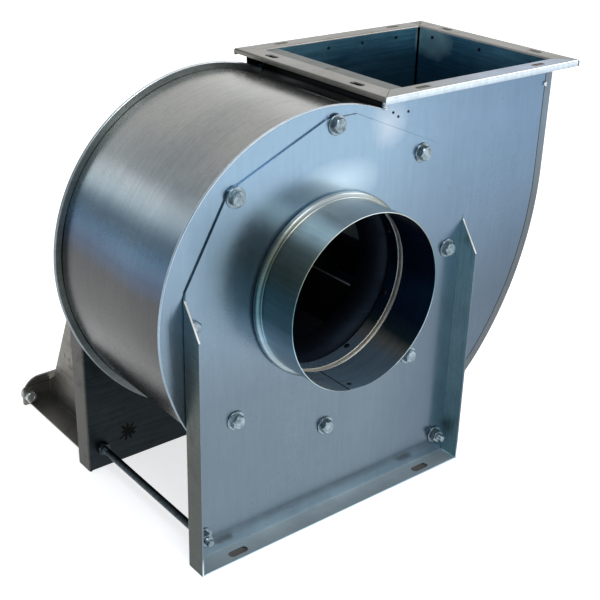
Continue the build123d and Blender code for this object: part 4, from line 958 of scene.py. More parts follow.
# Supports
SHOULDER, FLANGE_DEPTH, FOOT_INSET = 32.0, 25.0, 3.0
GABLE = [(SUPPORT_LEFT, SHOULDER), (SUPPORT_SHIFT - 126.0, 120.0), (SUPPORT_SHIFT - 19.5, 166.0),
         (SUPPORT_SHIFT + 19.5, 166.0), (SUPPORT_SHIFT + 126.0, 120.0), (SUPPORT_RIGHT, SHOULDER)]


def support(name, face, outward, hole, extra):
    """Support folded from one sheet: plate against the casing, two side flanges and a foot."""
    lip = face + outward * FLANGE_DEPTH
    foot = (SUPPORT_LEFT + FOOT_INSET, SUPPORT_RIGHT - FOOT_INSET)
    panels = [[(x, face, z) for x, z in GABLE] + [(x, face, BASE) for x in (SUPPORT_RIGHT, foot[1], foot[0],
                                                                         SUPPORT_LEFT)]]
    for side in (SUPPORT_LEFT, SUPPORT_RIGHT):
        panels.append([(side, face, BASE), (side, face, SHOULDER), (side, lip, -4.0), (side, lip, BASE)])
    panels.append([(foot[0], face, BASE), (foot[1], face, BASE), (foot[1], lip, BASE), (foot[0], lip, BASE)])
    low, high = sorted((face - outward * 3.0, face + outward * 5.0))
    slots = [(SUPPORT_SHIFT + side * 126.0, face + outward * 15.0) for side in SIDES]
    cuts = [drill(BOLT_SPOTS + ROD_SPOTS + extra, BOLT_HOLE, "Y", low, high),
            drill([(0.0, 0.0)], hole, "Y", low, high, steps=128),
            drill(slots, 4.5, "Z", BASE - 5.0, BASE + 6.0, length=22.0)]
    return folded(name, panels, 2.0, (0, -outward, 0), cuts=cuts)


front = dress(support("front_support_sheet", CASING_FRONT, -1, 90.3, []), PLATE, "front_support")
# Painted shade on the left flange and the right flange's bend, painted reflection on the right flange's inside,
# painted light on the top edges, painted highlight on the sloped flange edges.
finish_faces(front, SIDE, lambda face: face.normal.x < -0.5 and face.center.x < 0.0)
finish_faces(front, SHADE, lambda face: face.normal.x < -0.15 and face.center.x > 0.140)
finish_faces(front, FOLD, lambda face: -0.85 < face.normal.x < -0.15 and face.center.x > 0.140)
finish_faces(front, TOP_EDGE,
             lambda face: face.normal.z > 0.3 and face.center.z > 0.05 and face.center.x > -0.02)
finish_faces(front, FOOT, lambda face: face.normal.z > 0.3 and face.center.z < -0.245)
finish_faces(front, EDGE_HIGHLIGHT, lambda face: face.normal.y < -0.7 and face.normal.z > 0.4 and face.center.z > -0.1)
rear = dress(support("rear_support_sheet", CASING_BACK, 1, 47.8, MOTOR_SPOTS + BRACE_BOLTS), REAR_SHEET,
             "rear_support")
# Painted shade on the front face, and grime with painted shade on the left flange.
finish_faces(rear, DIM, lambda face: face.normal.y < -0.5)
finish_faces(rear, SUPPORT, lambda face: face.normal.x < -0.5 and face.center.x < 0.0)

# Tie rods with their nuts and washers
ROD_START, ROD_LENGTH, ROD_RADIUS, THREADED = -14.0, 230.0, 3.95, 30.0
for side, spot in zip(("left", "right"), ROD_SPOTS):
    work = bmesh.new()
    ends = thread(ROD_RADIUS, THREADED)
    profile = [(radius, THREADED - height) for radius, height in reversed(ends)]
    profile += [(ROD_RADIUS, THREADED + 1.0), (ROD_RADIUS, ROD_LENGTH - THREADED - 1.0)]
    profile += [(radius, ROD_LENGTH - THREADED + height) for radius, height in ends]
    rings_mesh(work, round_rings(profile, 24), turn_to((spot.x, ROD_START, spot.y), REAR))
    rod = dress(mesh_of(side + "_rod", work), ROD, side + "_tie_rod")
    finish_faces(rod, BOLT, lambda face: face.center.y < 0.009)
washers = seats(ROD_SPOTS, 0.0, FRONT) + seats(ROD_SPOTS, REAR_FACE, REAR)
dress(washer_set("rod_washer_set", washers), BOLT, "tie_rod_washers")
nuts = []
for spot in ROD_SPOTS:
    for depth, direction in ((-WASHER, FRONT), (CASING_FRONT, REAR), (CASING_BACK, FRONT),
                             (REAR_FACE + WASHER, REAR)):
        nuts += seats([spot], depth, direction)
rod_nuts = dress(nut_set("rod_nut_set", nuts), BOLT, "tie_rod_nuts")
finish_faces(rod_nuts, ROD, lambda face: 0.100 < face.center.y < 0.209)

# Inlet: tube with a rolled bead, and the bell mouth behind it
bead = [(90.0, -8.6), (90.6, -8.0)] + arc((91.4, -4.0), 4.0, -90.0, 90.0, 12) + [(90.4, 0.0), (90.0, 0.3)]
groove = [(89.0, -0.4), (89.5, -0.9)] + arc((91.4, -4.0), 3.0, 90.0, -90.0, 12) + [(89.4, -7.1), (89.0, -7.6)]
tube_profile = [(89.2, -54.0), (89.8, -54.0), (90.0, -53.7)] + bead + [(90.0, 14.0), (89.0, 14.0)] + groove
tube_profile += [(89.0, -53.7)]


def tube_rows(low, high):
    """Test for the faces between two points of the tube's profile."""
    return lambda face: low <= face.index % len(tube_profile) < high


tube = dress(lathe("inlet_tube", tube_profile, 192), TUBE, "inlet_spigot")
groove_start, groove_end = len(tube_profile) - 1 - len(groove), len(tube_profile) - 2
finish_faces(tube, BEAD, tube_rows(2, 2 + len(bead)))
finish_faces(tube, TUBE_INSIDE, tube_rows(groove_start - 1, groove_end + 1))
finish_faces(tube, GROOVE, tube_rows(groove_start, groove_end))


def bell_point(radius, step):
    """Point of the bell mouth's curve, from the tube's end inward."""
    turn = math.pi / 2 * step / 10
    return (radius - 14.3 * math.sin(turn), 16.0 + 28.0 * (1 - math.cos(turn)) ** 0.8)


bell = [(90.3, 16.0), (90.3, 2.0), (108.0, 2.0), (108.0, INSIDE_FRONT), (91.5, INSIDE_FRONT), (91.5, 16.0)]
bell += [bell_point(91.5, step) for step in range(1, 11)] + [(76.0, 44.0)]
bell += [bell_point(90.3, step) for step in range(9, 0, -1)]
dress(lathe("inlet_bell", bell), INNER, "inlet_cone")

# Lap seam and rivets of the tube
SEAM_ANGLE, SEAM_START, SEAM_END = 259.0, -53.6, -8.6
SEAM_STEPS = (0.0, 0.45, 2.0, 3.5, 5.0, 6.5, 8.0, 9.5, 11.0)
points = []
for step in SEAM_STEPS:
    for radius, depth in ((89.05, SEAM_START), (88.5, SEAM_START), (88.5, SEAM_END), (89.05, SEAM_END)):
        spot = on_circle(radius, SEAM_ANGLE + step)
        points.append((spot.x, depth, spot.y))
faces = [(4 * step + index, 4 * step + (index + 1) % 4, 4 * step + 4 + (index + 1) % 4, 4 * step + 4 + index)
         for step in range(8) for index in range(4)]
faces += [(0, 3, 2, 1), (32, 33, 34, 35)]
seam = dress(from_points("tube_lap_seam", points, faces), TUBE_INSIDE, "inlet_spigot")
# Painted shade, near black, on the lap seam's edge.
finish_faces(seam, DEEP_SHADE, lambda face: face.index < 4 or face.index == 32)
items = [radial(45.0 * (index + 0.5), 89.0, 9.6, -1, 2.6) for index in range(8)]
dress(rivet_set("tube_rivet_set", items), DOT, "spigot_rivets")
items = [radial(SEAM_ANGLE + 5.5, 88.5, -44.0, -1, 2.0)]
dress(rivet_set("seam_rivet_set", items, head=2.4, height=0.8, stem=1.2), DOT)

# Outlet flange: four folded strips, mitred and welded at the corners
FLANGE_X, FLANGE_Y = (42.0, DUCT_RIGHT + 25.0), (-18.8, 220.8)
WALL_X, WALL_Y = (WRAP_START, DUCT_RIGHT + SHEET), (CASING_FRONT, CASING_BACK)
MITRE, FLANGE_LEG, FLANGE_LIPS = 0.25, 14.0, (5.0, 7.0)
DUCT_MIDDLE, DUCT_WIDTH, DUCT_DEPTH = (DUCT_LEFT + DUCT_RIGHT) / 2, DUCT_RIGHT - DUCT_LEFT, INSIDE_BACK - INSIDE_FRONT
SLOT_X = [DUCT_MIDDLE + side * 82.5 for side in SIDES]
SLOT_Y = [101.0 + side * 67.0 for side in SIDES]
RIVET_X = [DUCT_MIDDLE + DUCT_WIDTH * share for share in (-0.34, -0.11, 0.11, 0.34)]
RIVET_Y = [101.0 + DUCT_DEPTH * share for share in (-0.38, 0.0, 0.38)]


def shortened(ends):
    """Ends of a strip, less the mitre's gap."""
    return (ends[0] + MITRE, ends[1] - MITRE)


def channel(name, inner, outer, lip, slots, holes):
    """Flange strip: top between two lines, a lip down its outer line and a leg down its inner one."""
    top, (a, b), (c, d) = OUTLET_TOP, inner, outer
    along_line = Vector((b[0] - a[0], b[1] - a[1])).normalized() * 0.6
    panels = [[(a[0], a[1], top), (b[0], b[1], top), (d[0], d[1], top), (c[0], c[1], top)],
              [(c[0], c[1], top), (d[0], d[1], top), (d[0], d[1], top - lip), (c[0], c[1], top - lip)],
              [(a[0], a[1], top), (b[0], b[1], top),
               (b[0] - along_line.x, b[1] - along_line.y, top - FLANGE_LEG),
               (a[0] + along_line.x, a[1] + along_line.y, top - FLANGE_LEG)]]
    return folded(name, panels, 1.5, (0, 0, 1), bend=2.2, cuts=[slots] + holes, edge=0.25)


def slot_cutter(spots, radius, plane):
    return drill(spots, radius, plane, OUTLET_TOP - 3.0, OUTLET_TOP + 2.0, length=18.0)


def hole_cutters(line, plane, wall):
    return [drill([(place, RIVET_LEVEL)], RIVET_HOLE, plane, wall - 3.0, wall + 3.0, steps=16)
            for place in line]


strips = {}
for side, wall, rim, slot in zip(("front", "rear"), WALL_Y, FLANGE_Y, (-9.3, 211.3)):
    inner, outer = [(x, wall) for x in shortened(WALL_X)], [(x, rim) for x in shortened(FLANGE_X)]
    strips[side] = channel("flange_%s_strip" % side, inner, outer, 7.0,
                           slot_cutter([(x, slot) for x in SLOT_X], 3.2, "Z"), hole_cutters(RIVET_X, "Y", wall))
for side, wall, rim, slot, lip in zip(("left", "right"), WALL_X, FLANGE_X, (53.0, 308.0), FLANGE_LIPS):
    inner, outer = [(wall, y) for y in shortened(WALL_Y)], [(rim, y) for y in shortened(FLANGE_Y)]
    strips[side] = channel("flange_%s_strip" % side, inner, outer, lip,
                           slot_cutter([(slot, y) for y in SLOT_Y], 4.0, "ZY"), hole_cutters(RIVET_Y, "X", wall))
# Near-black sheet that fills the shaded gap under the flange's rear left corner: painted shade.
shade_sheet_x = (FLANGE_X[0] + 1.8, WALL_X[0] - 0.1)
shade_sheet = [(shade_sheet_x[0], 168.0), (shade_sheet_x[1], 159.5), (shade_sheet_x[1], 181.0), (shade_sheet_x[0], 181.0)]
dress(plate("rear_corner_shade_sheet", shade_sheet, [], CASING_BACK - SHEET, CASING_BACK), DEEP_SHADE)
for side, strip in strips.items():
    dress(strip, FLANGE, "outlet_flange_" + side, angle=30.0)
# Painted bluish reflection on the front strip's top, painted highlight and shade on its lip, painted shade on its
# inner leg and on the left strip's lip, leg and underside.
finish_faces(strips["front"], FRONT_STRIP, lambda face: face.normal.z > 0.8)
finish_faces(strips["front"], LIP, lambda face: face.normal.y < -0.35 and face.center.y < -0.004)
finish_faces(strips["front"], DUST_AND_SHADE, lambda face: face.normal.y < -0.35 and face.center.y > -0.004)
finish_faces(strips["left"], DUST_AND_SHADE, lambda face: face.normal.x < -0.6 and face.center.x < 0.050)
finish_faces(strips["left"], DEEP_SHADE,
             lambda face: face.normal.x < 0.2 and face.center.x > 0.050 and face.center.z < 0.1800)
finish_faces(strips["left"], DEEP_SHADE, lambda face: face.normal.z < -0.5)


def weld(start, end, radius, seed):
    """Weld bead between two points: overlapping drops along the line."""
    draw = random.Random(seed)
    work = bmesh.new()
    line = Vector(end) - Vector(start)
    count = max(2, int(line.length / (radius * 0.8)))
    for index in range(count + 1):
        spot = Vector(start) + line * index / count
        size = radius * draw.uniform(0.8, 1.15)
        made = bmesh.ops.create_icosphere(work, subdivisions=2, radius=size * MM)
        squash = (draw.uniform(0.9, 1.1), draw.uniform(0.9, 1.1), draw.uniform(0.6, 0.8), 1.0)
        matrix = Matrix.Translation(placed(spot)) @ Matrix.Diagonal(squash)
        bmesh.ops.transform(work, matrix=matrix, verts=made["verts"])
    return mesh_of("weld", work)


WELD_LEVEL = 180.4
welds = [((x, y, WELD_LEVEL), (to_x, to_y, WELD_LEVEL), 1.1)
         for y, to_y in ((FLANGE_Y[0] + 1.5, 0.6), (FLANGE_Y[1] - 1.5, 201.4))
         for x, to_x in ((FLANGE_X[0] + 1.5, 64.0), (FLANGE_X[1] - 1.5, WALL_X[1] + 1))]
welds += [((291.3, 1.4, 157.8), (291.3, 1.4, 155.6), 2.0), ((60.0, 1.4, 171.0), (60.6, 1.0, 165.5), 2.2),
          ((291.3, 200.6, 157.8), (291.3, 200.6, 155.6), 2.0)]
dress(joined("flange_welds", [weld(*line, seed) for seed, line in enumerate(welds, 1)]), WELD)

# Cut-off plate: tab under the wrap, wall, lip and two ears
LIP_TOP, EAR_RIGHT = 181.3, DUCT_LEFT + 30.0
tab_radius = RADIUS_1 - SHEET - 0.3
tab_start = math.degrees(math.acos((DUCT_LEFT - CENTRE_1.x) / tab_radius))
tab = arc(CENTRE_1, tab_radius, tab_start, tab_start + 7.0, 6)
profile = [(DUCT_LEFT + 18.0, LIP_TOP), (WRAP_START, LIP_TOP), (WRAP_START, tab[0].y + 2.0)] + tab[1:]
panels = []
for here, there in zip(profile, profile[1:]):
    panels.append([(here[0], INSIDE_FRONT, here[1]), (there[0], INSIDE_FRONT, there[1]),
                   (there[0], INSIDE_BACK, there[1]), (here[0], INSIDE_BACK, here[1])])
parts = [folded("cutoff_sheet", panels, SHEET, (0, 0, 1), bend=1.6,
                cuts=[drill([(y, RIVET_LEVEL)], RIVET_HOLE, "X", 60.0, 70.0, steps=16) for y in RIVET_Y])]
for low in (INSIDE_FRONT + 0.02, INSIDE_BACK - SHEET - 0.02):
    ear = box_outline(DUCT_LEFT + 0.1, EAR_RIGHT, 149.0, 177.0)
    parts.append(plate("cutoff_ear", ear, [], low, low + SHEET))
dress(joined("cutoff_sheet_set", parts), CUTOFF, "cutoff_plate")

items = []
for x in RIVET_X:
    items += seats([(x, RIVET_LEVEL)], CASING_FRONT - 1.5, FRONT, 2.7)
    items += seats([(x, RIVET_LEVEL)], CASING_BACK + 1.5, REAR, 2.7)
for y in RIVET_Y:
    items += [((wall + way * 1.5, y, RIVET_LEVEL), (way, 0, 0), 2.7) for wall, way in zip(WALL_X, SIDES)]
flush = []
for spot in ((DUCT_LEFT + x, WALL_TOP - z) for x, z in ((5.0, 22.0), (12.0, 27.0), (25.0, 24.0))):
    flush += seats([spot], CASING_FRONT, FRONT, 2.4) + seats([spot], CASING_BACK, REAR, 2.4)
dress(joined("casing_rivet_set", [rivet_set("flange_rivets", items, head=3.0),
                                  rivet_set("ear_rivets", flush, head=1.4, height=0.4, stem=0.9)]),
      DOT, "casing_rivets")

# Rear braces and cross bar
BRACE_BACK, BRACE_START, BRACE_TOP, BRACE_END = 376.0, 226.5, 60.0, 24.0


def brace(name, side):
    """Brace folded from one sheet: web, tabs on the rear support, foot and end tab, turned outwards."""
    web_x, foot_x, tab_x, end_x, corner_x = (SUPPORT_SHIFT + side * x for x in (132.5, 162.5, 158.5, 169.5, 136.5))
    notch, low_tab, end_top = 15.0, BASE + 46.0, BASE + BRACE_END
    web = [(REAR_FACE, BASE + 3.0), (BRACE_START - 0.5, BASE + 3.0), (BRACE_START, BASE),
           (BRACE_BACK - 4.0, BASE), (BRACE_BACK, BASE + 4.0), (BRACE_BACK, end_top),
           (BRACE_BACK - 15.0, BASE + 36.0), (REAR_FACE + 25.0, BRACE_TOP), (REAR_FACE, BRACE_TOP),
           (REAR_FACE, notch), (REAR_FACE, -notch), (REAR_FACE, low_tab)]
    panels = [[(web_x, y, z) for y, z in web]]
    for low, high in ((low_tab, -notch), (notch, BRACE_TOP)):
        panels.append([(web_x, REAR_FACE, low), (web_x, REAR_FACE, high), (tab_x, REAR_FACE, high),
                       (tab_x, REAR_FACE, low)])
    panels.append([(web_x, BRACE_START, BASE), (web_x, BRACE_BACK - 4.0, BASE), (corner_x, BRACE_BACK, BASE),
                   (foot_x, BRACE_BACK, BASE), (foot_x, BRACE_START, BASE)])
    panels.append([(web_x, BRACE_BACK, BASE + 4.0), (web_x, BRACE_BACK, end_top), (end_x, BRACE_BACK, end_top),
                   (end_x, BRACE_BACK, BASE), (corner_x, BRACE_BACK, BASE)])
    tabs, bar = ([spot for spot in spots if (spot.x - SUPPORT_SHIFT) * side > 0]
                 for spots in (BRACE_BOLTS, BAR_BOLTS))
    cuts = [drill(tabs, BOLT_HOLE, "Y", REAR_FACE - 3.0, REAR_FACE + 5.0),
            drill(bar, BOLT_HOLE, "Y", BRACE_BACK - 6.0, BRACE_BACK + 4.0)]
    return folded(name, panels, 2.0, (-side, 0, 0), cuts=cuts)


left = dress(brace("left_brace_sheet", -1), REAR_SHEET, "left_brace")
# Grime and painted shade on faces toward the left, front and top.
finish_faces(left, BRACE, lambda face: face.normal.x < -0.3 or face.normal.y < -0.3 or face.normal.z > 0.5)
dress(brace("right_brace_sheet", 1), REAR_SHEET, "right_brace")
bar = [Vector((SUPPORT_SHIFT - 169.5, BASE)), Vector((SUPPORT_SHIFT + 169.5, BASE))]
bar += arc((SUPPORT_SHIFT + 145.5, BASE + 10.0), 24.0, 0.0, 90.0, 12)
bar += arc((SUPPORT_SHIFT - 145.5, BASE + 10.0), 24.0, 90.0, 180.0, 12)
holes = [ring(spot, BOLT_HOLE) for spot in BAR_BOLTS]
strip = dress(plate("cross_bar_strip", bar, holes, BRACE_BACK, BRACE_BACK + 3.0), REAR_SHEET, "rear_cross_bar")
# Grime and painted shade on faces toward the front and left.
finish_faces(strip, BRACE, lambda face: face.normal.y < -0.3 or face.normal.x < -0.1)
items = seats(BRACE_BOLTS, REAR_FACE + 2.0, REAR, 0.0, 12.7) + seats(BAR_BOLTS, BRACE_BACK - 2.0, FRONT, 0.0, 16.5)
bolts = dress(bolt_heads("brace_bolt_set", items), BOLT, "brace_bolts")
# Painted highlight on the cross bar's left bolt.
finish_faces(bolts, EDGE_HIGHLIGHT, lambda face: face.center.x < -0.1 and face.center.z < -0.2)
nuts = seats(BRACE_BOLTS, INSIDE_BACK, FRONT) + seats(BAR_BOLTS, BRACE_BACK + 3.0, REAR)
dress(nut_set("brace_nut_set", nuts), BOLT, "brace_nuts")


# Impeller
def circle_through(a, b, c):
    """Centre and radius of the circle through three points."""
    d = 2 * (a[0] * (b[1] - c[1]) + b[0] * (c[1] - a[1]) + c[0] * (a[1] - b[1]))
    sums = [p[0] ** 2 + p[1] ** 2 for p in (a, b, c)]
    x = (sums[0] * (b[1] - c[1]) + sums[1] * (c[1] - a[1]) + sums[2] * (a[1] - b[1])) / d
    y = (sums[0] * (c[0] - b[0]) + sums[1] * (a[0] - c[0]) + sums[2] * (b[0] - a[0])) / d
    return Vector((x, y)), math.hypot(a[0] - x, a[1] - y)


EYE_DEPTH = 48.0
shroud_centre, shroud_radius = circle_through((EYE, EYE_DEPTH), (101.0, 58.8), (TIP, 66.0))
shroud_side = 1.0 if shroud_centre.y < EYE_DEPTH else -1.0


def shroud_depth(radius):
    """Depth of the shroud's inside at a radius."""
    rise = math.sqrt(max(shroud_radius ** 2 - (radius - shroud_centre.x) ** 2, 0.0))
    return shroud_centre.y + rise * shroud_side


curve = [(radius, shroud_depth(radius)) for radius in (EYE + (TIP - EYE) * step / 16 for step in range(1, 17))]
shroud = [(EYE, 40.4), (EYE, EYE_DEPTH)] + curve + [(TIP + 0.3, 65.6), (TIP + 0.2, 64.7)]
shroud += [(radius + 0.45, depth - 1.45) for radius, depth in reversed(curve[:-1])]
shroud += [(EYE + 1.5, 47.4), (EYE + 1.5, 40.4), (EYE + 1.1, 40.0), (EYE + 0.4, 40.0)]
dress(lathe("impeller_shroud", shroud), INNER, "shroud_ring", body="impeller")
disc = [(17.1, DISC), (TIP - 0.4, DISC), (TIP, DISC + 0.4), (TIP, DISC + 1.6), (TIP - 0.4, DISC + 2.0),
        (17.1, DISC + 2.0)]
dress(lathe("impeller_disc", disc), BACK_DISC, "back_disc", body="impeller")

inner_radius, outer_radius = EYE - 1.0, TIP - 1.0
inlet_angle, outlet_angle = math.radians(38.0), math.radians(45.0)
blade_arc = (outer_radius ** 2 - inner_radius ** 2) / (
    2 * (outer_radius * math.cos(outlet_angle) - inner_radius * math.cos(inlet_angle)))
centre_distance = math.sqrt(inner_radius ** 2 + blade_arc ** 2
                            - 2 * inner_radius * blade_arc * math.cos(inlet_angle))


def blade_turn(radius):
    """Angle between the blade arc's centre and its point at a radius, in degrees."""
    return math.degrees(math.acos((centre_distance ** 2 + radius ** 2 - blade_arc ** 2)
                                  / (2 * centre_distance * radius)))


def blade(name, turn):
    """Curved blade between the shroud and the disc, with rounded edges."""
    columns, rows = 20, 8
    points = []
    start = -28.0 - blade_turn(inner_radius) - turn
    for column in range(columns + 1):
        radius = inner_radius + (outer_radius - inner_radius) * column / columns
        spot = on_circle(radius, start + blade_turn(radius))
        top = shroud_depth(max(radius, EYE)) + 0.3
        points += [(spot.x, top + (DISC - 0.1 - top) * row / rows, spot.y) for row in range(rows + 1)]
    corners = [column * (rows + 1) + row for column in range(columns) for row in range(rows)]
    piece = from_points(name, points, [(here, here + 1, here + rows + 2, here + rows + 1) for here in corners])
    thicken(piece, 1.5, 0.0)
    bevel(piece, 0.4, 2, 60.0, True)
    return baked(piece)


for index in range(10):
    dress(blade("blade_%02d" % (index + 1), 36.0 * index), BLADE, "impeller_blade_%02d" % (index + 1),
          body="impeller")

hub = [(2.7, 119.5), (3.2, 119.0), (16.2, 119.0), (17.0, 119.8), (17.0, 124.2), (17.8, 125.0), (33.2, 125.0),
       (34.0, 125.8), (34.0, 129.4), (33.4, DISC), (17.0, DISC), (17.0, 188.2), (16.2, 189.0), (6.2, 189.0),
       (5.55, 188.4), (5.55, 167.0), (2.7, 167.0)]
dress(lathe("hub_turning", hub, 96), STEEL, "impeller_hub", body="impeller")
items = seats([on_circle(25.0, 60.0 * step) for step in range(6)], DISC + 2.0, REAR, 7.0)
dress(rivet_set("hub_rivet_set", items), RIVET, "hub_rivets", body="impeller")
dress(bolt_heads("hub_retaining_bolt", seats([(0, 0)], 119.0, FRONT, 0.0, 50.0), 8.0, 3.5, 2.45), BOLT,
      "retaining_bolt", body="impeller")

# Motor
BODY_START, BODY_END, SHIELD_END = 222.0, 328.0, 338.0
PAD_TOP = 62.0
BOX_START, BOX_END, BOX_HALF = BODY_START + 14.0, BODY_START + 76.0, 36.0
BOX_MIDDLE = (BOX_START + BOX_END) / 2


def finned(name, inner_radius, root, tip, count, width, start, end):
    """Ribbed housing: a bored round body with fins that round over at their tips."""
    half = width / 2
    side = [(root - 0.3, half + 1.4), (root + 0.4, half + 0.5), (root + 1.2, half + 0.1), (tip - 0.8, half - 0.4),
            (tip - 0.1, half - 1.0)]
    profile = [(far, -aside) for far, aside in side] + side[::-1]
    outline = []
    for index in range(count):
        middle = 360.0 * (index + 0.5) / count
        away, across = on_circle(1.0, middle), on_circle(1.0, middle + 90.0)
        outline += [away * far + across * aside for far, aside in profile]
    bore = [spot.normalized() * inner_radius for spot in outline]
    rings = [[placed((spot.x, depth, spot.y)) for spot in loop]
             for loop, depth in ((bore, start), (outline, start), (outline, end), (bore, end))]
    work = bmesh.new()
    rings_mesh(work, rings, Matrix.Identity(4), close=True)
    return mesh_of(name, work)


housing = [finned("motor_fins", 49.0, 54.0, 60.0, 28, 2.4, BODY_START, BODY_END),
           plate("motor_pad", box_outline(-BOX_HALF, BOX_HALF, 45.0, PAD_TOP), [], BOX_START, BOX_END)]
dress(joined("motor_body", housing), MOTOR, "motor_housing")

shield = [(8.0, 199.3), (8.3, 199.0), (47.2, 199.0), (47.5, 199.3), (47.5, REAR_FACE), (69.2, REAR_FACE),
          (70.0, 202.8), (70.0, 210.0), (69.0, 211.0), (48.6, 211.0), (47.5, 212.1), (47.5, 218.4),
          (48.0, 219.6), (53.0, 221.4), (54.0, BODY_START), (49.0, BODY_START), (26.0, 216.0), (16.05, 216.0),
          (16.05, 206.0), (8.0, 206.0)]
shield_holes = drill(MOTOR_SPOTS, BOLT_HOLE, "Y", 196.0, 220.0)
dress(bored(lathe("motor_front_shield", shield, 128), [shield_holes]), MOTOR, "motor_flange_shield")
shield = [(8.0, SHIELD_END), (8.0, 336.0), (16.05, 336.0), (16.05, 326.0), (21.0, 326.0), (26.0, BODY_END),
          (59.4, BODY_END), (60.0, 328.6), (60.0, 337.2), (59.2, SHIELD_END)]
dress(lathe("motor_end_shield", shield, 128), MOTOR, "motor_rear_shield")

COWL_BEND = (53.3, 379.0)
cowl = [(60.3, 331.2), (60.5, 331.0), (61.1, 331.0), (61.3, 331.3), (61.3, 378.0)]
cowl += arc(COWL_BEND, 8.0, 9.0, 90.0, 9) + [(0.01, 387.0), (0.01, 386.0)]
cowl += arc(COWL_BEND, 7.0, 90.0, 9.0, 9) + [(60.3, 378.0)]
slots = []
for index in range(12):
    cutter = drill([(31.0, 0.0)], 2.5, "Y", 383.0, 390.0, length=34.0, steps=24)
    cutter.data.transform(Matrix.Rotation(math.radians(30.0 * index), 4, "Y"))
    slots.append(cutter)
dress(bored(lathe("motor_cowl", cowl, 120), slots), COWL, "motor_fan_cowl")
screws = [radial(angle, 61.3, 334.5, 1, 0.0, 2.0) for angle in (45.0, 135.0, 225.0, 315.0)]
dress(bolt_heads("cowl_screw_set", screws, 5.5, 2.2, 1.6), BOLT)


def rounded_box(name, half_x, half_y, corner, levels):
    """Body with rounded corners in plan, from (inset, height) levels, about the terminal box's middle."""
    rings = []
    for inset, height in levels:
        loop = []
        for quarter, (side_x, side_y) in enumerate(((1, 1), (-1, 1), (-1, -1), (1, -1))):
            centre = (side_x * (half_x - corner), side_y * (half_y - corner))
            loop += arc(centre, max(corner - inset, 0.3), 90.0 * quarter, 90.0 * quarter + 90.0, 6)
        rings.append([placed((spot.x, BOX_MIDDLE + spot.y, height)) for spot in loop])
    work = bmesh.new()
    rings_mesh(work, rings, Matrix.Identity(4))
    return mesh_of(name, work)


box = [(0.8, PAD_TOP), (0.0, PAD_TOP + 0.8), (0.0, 91.4), (0.4, 92.0)]
dress(rounded_box("terminal_body", BOX_HALF, 31.0, 6.0, box), BLACK, "terminal_box")
lid = [(0.4, 92.0), (0.0, 92.5), (0.0, 96.0), (0.6, 97.2), (2.0, 98.0), (7.0, 98.0), (7.6, 97.4), (8.2, 97.4)]
dress(rounded_box("terminal_lid", BOX_HALF, 31.0, 6.0, lid), BLACK, "terminal_box_lid")
work = bmesh.new()
screw = [(1.2, -2.0), (2.2, -2.0), (2.2, 0.0), (1.6, 0.35), (0.6, 0.35), (0.6, -0.5)]
for x in (-31.5, 31.5):
    for y in (-26.5, 26.5):
        rings_mesh(work, round_rings(screw, 18), turn_to((x, BOX_MIDDLE + y, 97.6), (0, 0, 1)))
dress(mesh_of("lid_screw_set", work), BOLT)

gland_at = turn_to((BOX_HALF, BOX_MIDDLE, 77.0), (1, 0, 0))
work = bmesh.new()
rings_mesh(work, hexagon(18.0, 5.0, 1.2, 3.5), gland_at, close=True)
cap = [(3.5, 5.0), (7.5, 5.0), (7.5, 9.5), (6.6, 12.6), (5.2, 14.0), (3.5, 14.0)]
rings_mesh(work, round_rings(cap, 36), gland_at, close=True)
dress(mesh_of("gland_nut", work), BLACK, "cable_gland")
dress(bolt_heads("motor_bolt_set", seats(MOTOR_SPOTS, CASING_BACK, FRONT, 0.0, 18.5)), BOLT, "motor_flange_bolts")
dress(nut_set("motor_nut_set", seats(MOTOR_SPOTS, 211.0, REAR)), BOLT, "motor_flange_nuts")

# Floor, light and camera
FLOOR_HALF, FLOOR_GLOW = 15.0, 0.70
floor_mesh = bpy.data.meshes.new("floor")
floor_mesh.from_pydata([(x * FLOOR_HALF, y * FLOOR_HALF, BASE * MM) for x, y in ((-1, -1), (1, -1), (1, 1), (-1, 1))],
                       [], [(0, 1, 2, 3)])
floor = new_object("floor", floor_mesh)
t = Tree(bpy.data.materials.new("pale_floor"))


def inside(value, low, high):
    """One between two limits, otherwise zero."""
    return t.times(t.over(value, low), t.under(value, high))


# Painted shadow on the floor under the supports' feet: dark colour and no glow there.
feet_shadow = t.plus(inside(t.axis(1), -0.0145, 0.0080), inside(t.axis(1), 0.2100, 0.2310))
feet_shadow = t.times(inside(t.axis(0), (SUPPORT_LEFT + 4.0) * MM, (SUPPORT_RIGHT - 4.0) * MM), feet_shadow)
ground = t.blend(t.noise(1.5, 3.0), rgb(0.88, 0.88, 0.88), rgb(0.91, 0.91, 0.91))
t.finish(t.blend(feet_shadow, ground, rgb(0.10, 0.09, 0.08)), 0.9, 0.0)
rays = t.nodes.new("ShaderNodeLightPath").outputs
seen = t.math("MAXIMUM", rays["Is Camera Ray"],
              t.math("MAXIMUM", rays["Is Glossy Ray"], rays["Is Transmission Ray"]))
seen = t.times(seen, t.minus(1.0, feet_shadow))
glow = t.nodes.new("ShaderNodeEmission")
glow.inputs["Color"].default_value = rgb(1.0, 1.0, 1.0)
t.plug(t.times(seen, FLOOR_GLOW), glow.inputs["Strength"])
mixed = t.nodes.new("ShaderNodeAddShader")
t.plug(t.nodes["Principled BSDF"].outputs[0], mixed.inputs[0])
t.plug(glow.outputs[0], mixed.inputs[1])
t.plug(mixed.outputs[0], t.nodes["Material Output"].inputs["Surface"])
floor.data.materials.append(t.owner)
floor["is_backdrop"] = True

world = bpy.data.worlds.new("studio")
bpy.context.scene.world = world
sky = Tree(world, "Generated")
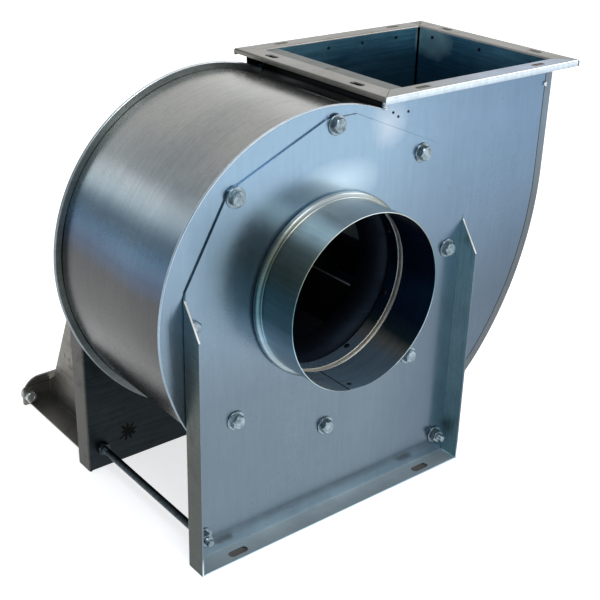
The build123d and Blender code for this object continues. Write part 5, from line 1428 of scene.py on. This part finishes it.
by_height = sky.ramp(sky.axis(2), [(0.0, (0.95, 0.95, 0.95)), (0.30, (0.95, 0.95, 0.94)), (0.45, (0.75, 0.75, 0.74)),
                                   (0.60, (0.50, 0.50, 0.50)), (0.80, (0.60, 0.60, 0.60)),
                                   (1.0, (0.75, 0.75, 0.75))])
by_side = sky.ramp(sky.plus(sky.times(sky.axis(0), 0.5), 0.5),
                   [(0.0, (0.42, 0.50, 0.60)), (0.30, (0.50, 0.57, 0.64)), (0.52, (0.95, 0.96, 0.96)),
                    (1.0, (1.0, 1.0, 1.0))])
background = sky.nodes["Background"]
sky.plug(sky.product(by_height, by_side), background.inputs["Color"])
background.inputs["Strength"].default_value = 1.0


def lamp(name, spot, power, size, aim=(0.0, 0.1, 0.0)):
    """Soft square white lamp aimed at a point, all in metres."""
    light = bpy.data.lights.new(name, "AREA")
    light.energy = power
    light.size = size
    holder = new_object(name, light)
    holder.location = spot
    holder.rotation_euler = (Vector(aim) - Vector(spot)).to_track_quat("-Z", "Y").to_euler()


lamp("key", (-0.4, -1.6, 2.2), 22.0, 1.2)
lamp("streak", (-1.15, 1.81, 0.74), 0.7, 0.5)
lamp("right", (2.2, -0.8, 1.6), 12.0, 1.2)

AZIMUTH, ELEVATION, ROLL = math.radians(-39.166), math.radians(25.421), math.radians(1.542)
CAMERA_AT, SENSOR, FOCAL_PIXELS, PICTURE_PIXELS = (-640.49, -740.04, 447.26), 36.0, 1105.7, 600.0
level = Vector((math.cos(AZIMUTH), math.sin(AZIMUTH), 0.0))
back = Vector((math.sin(AZIMUTH), -math.cos(AZIMUTH), 0.0)) * math.cos(ELEVATION)
back.z = math.sin(ELEVATION)
right = level * math.cos(ROLL) + back.cross(level) * math.sin(ROLL)
camera_data = bpy.data.cameras.new("camera")
camera_data.sensor_width = SENSOR
camera_data.lens = FOCAL_PIXELS / PICTURE_PIXELS * SENSOR
camera_data.clip_start, camera_data.clip_end = 0.05, 60.0
camera = new_object("camera", camera_data)
turn = Matrix((right, back.cross(right), back)).transposed()
camera.matrix_world = Matrix.Translation(placed(CAMERA_AT)) @ turn.to_4x4()
bpy.context.scene.camera = camera
bpy.context.scene.view_settings.view_transform = "Standard"

# Finishes of the nodes that are shown as they are
SLOT_FINISH = {"galvanised_steel": PLATE, "zinc_plated": BOLT, "rivet_aluminium": RIVET, "motor_paint": MOTOR,
               "cowl_paint": COWL, "black_plastic": BLACK, "machined_steel": STEEL, "laminated_steel": CORE}
for part in frame["record"]["subparts"]:
    node = frame["nodes"][part["node"]]
    node.data.materials.clear()
    node.data.materials.append(SLOT_FINISH[part["material_slot"]])

low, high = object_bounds()
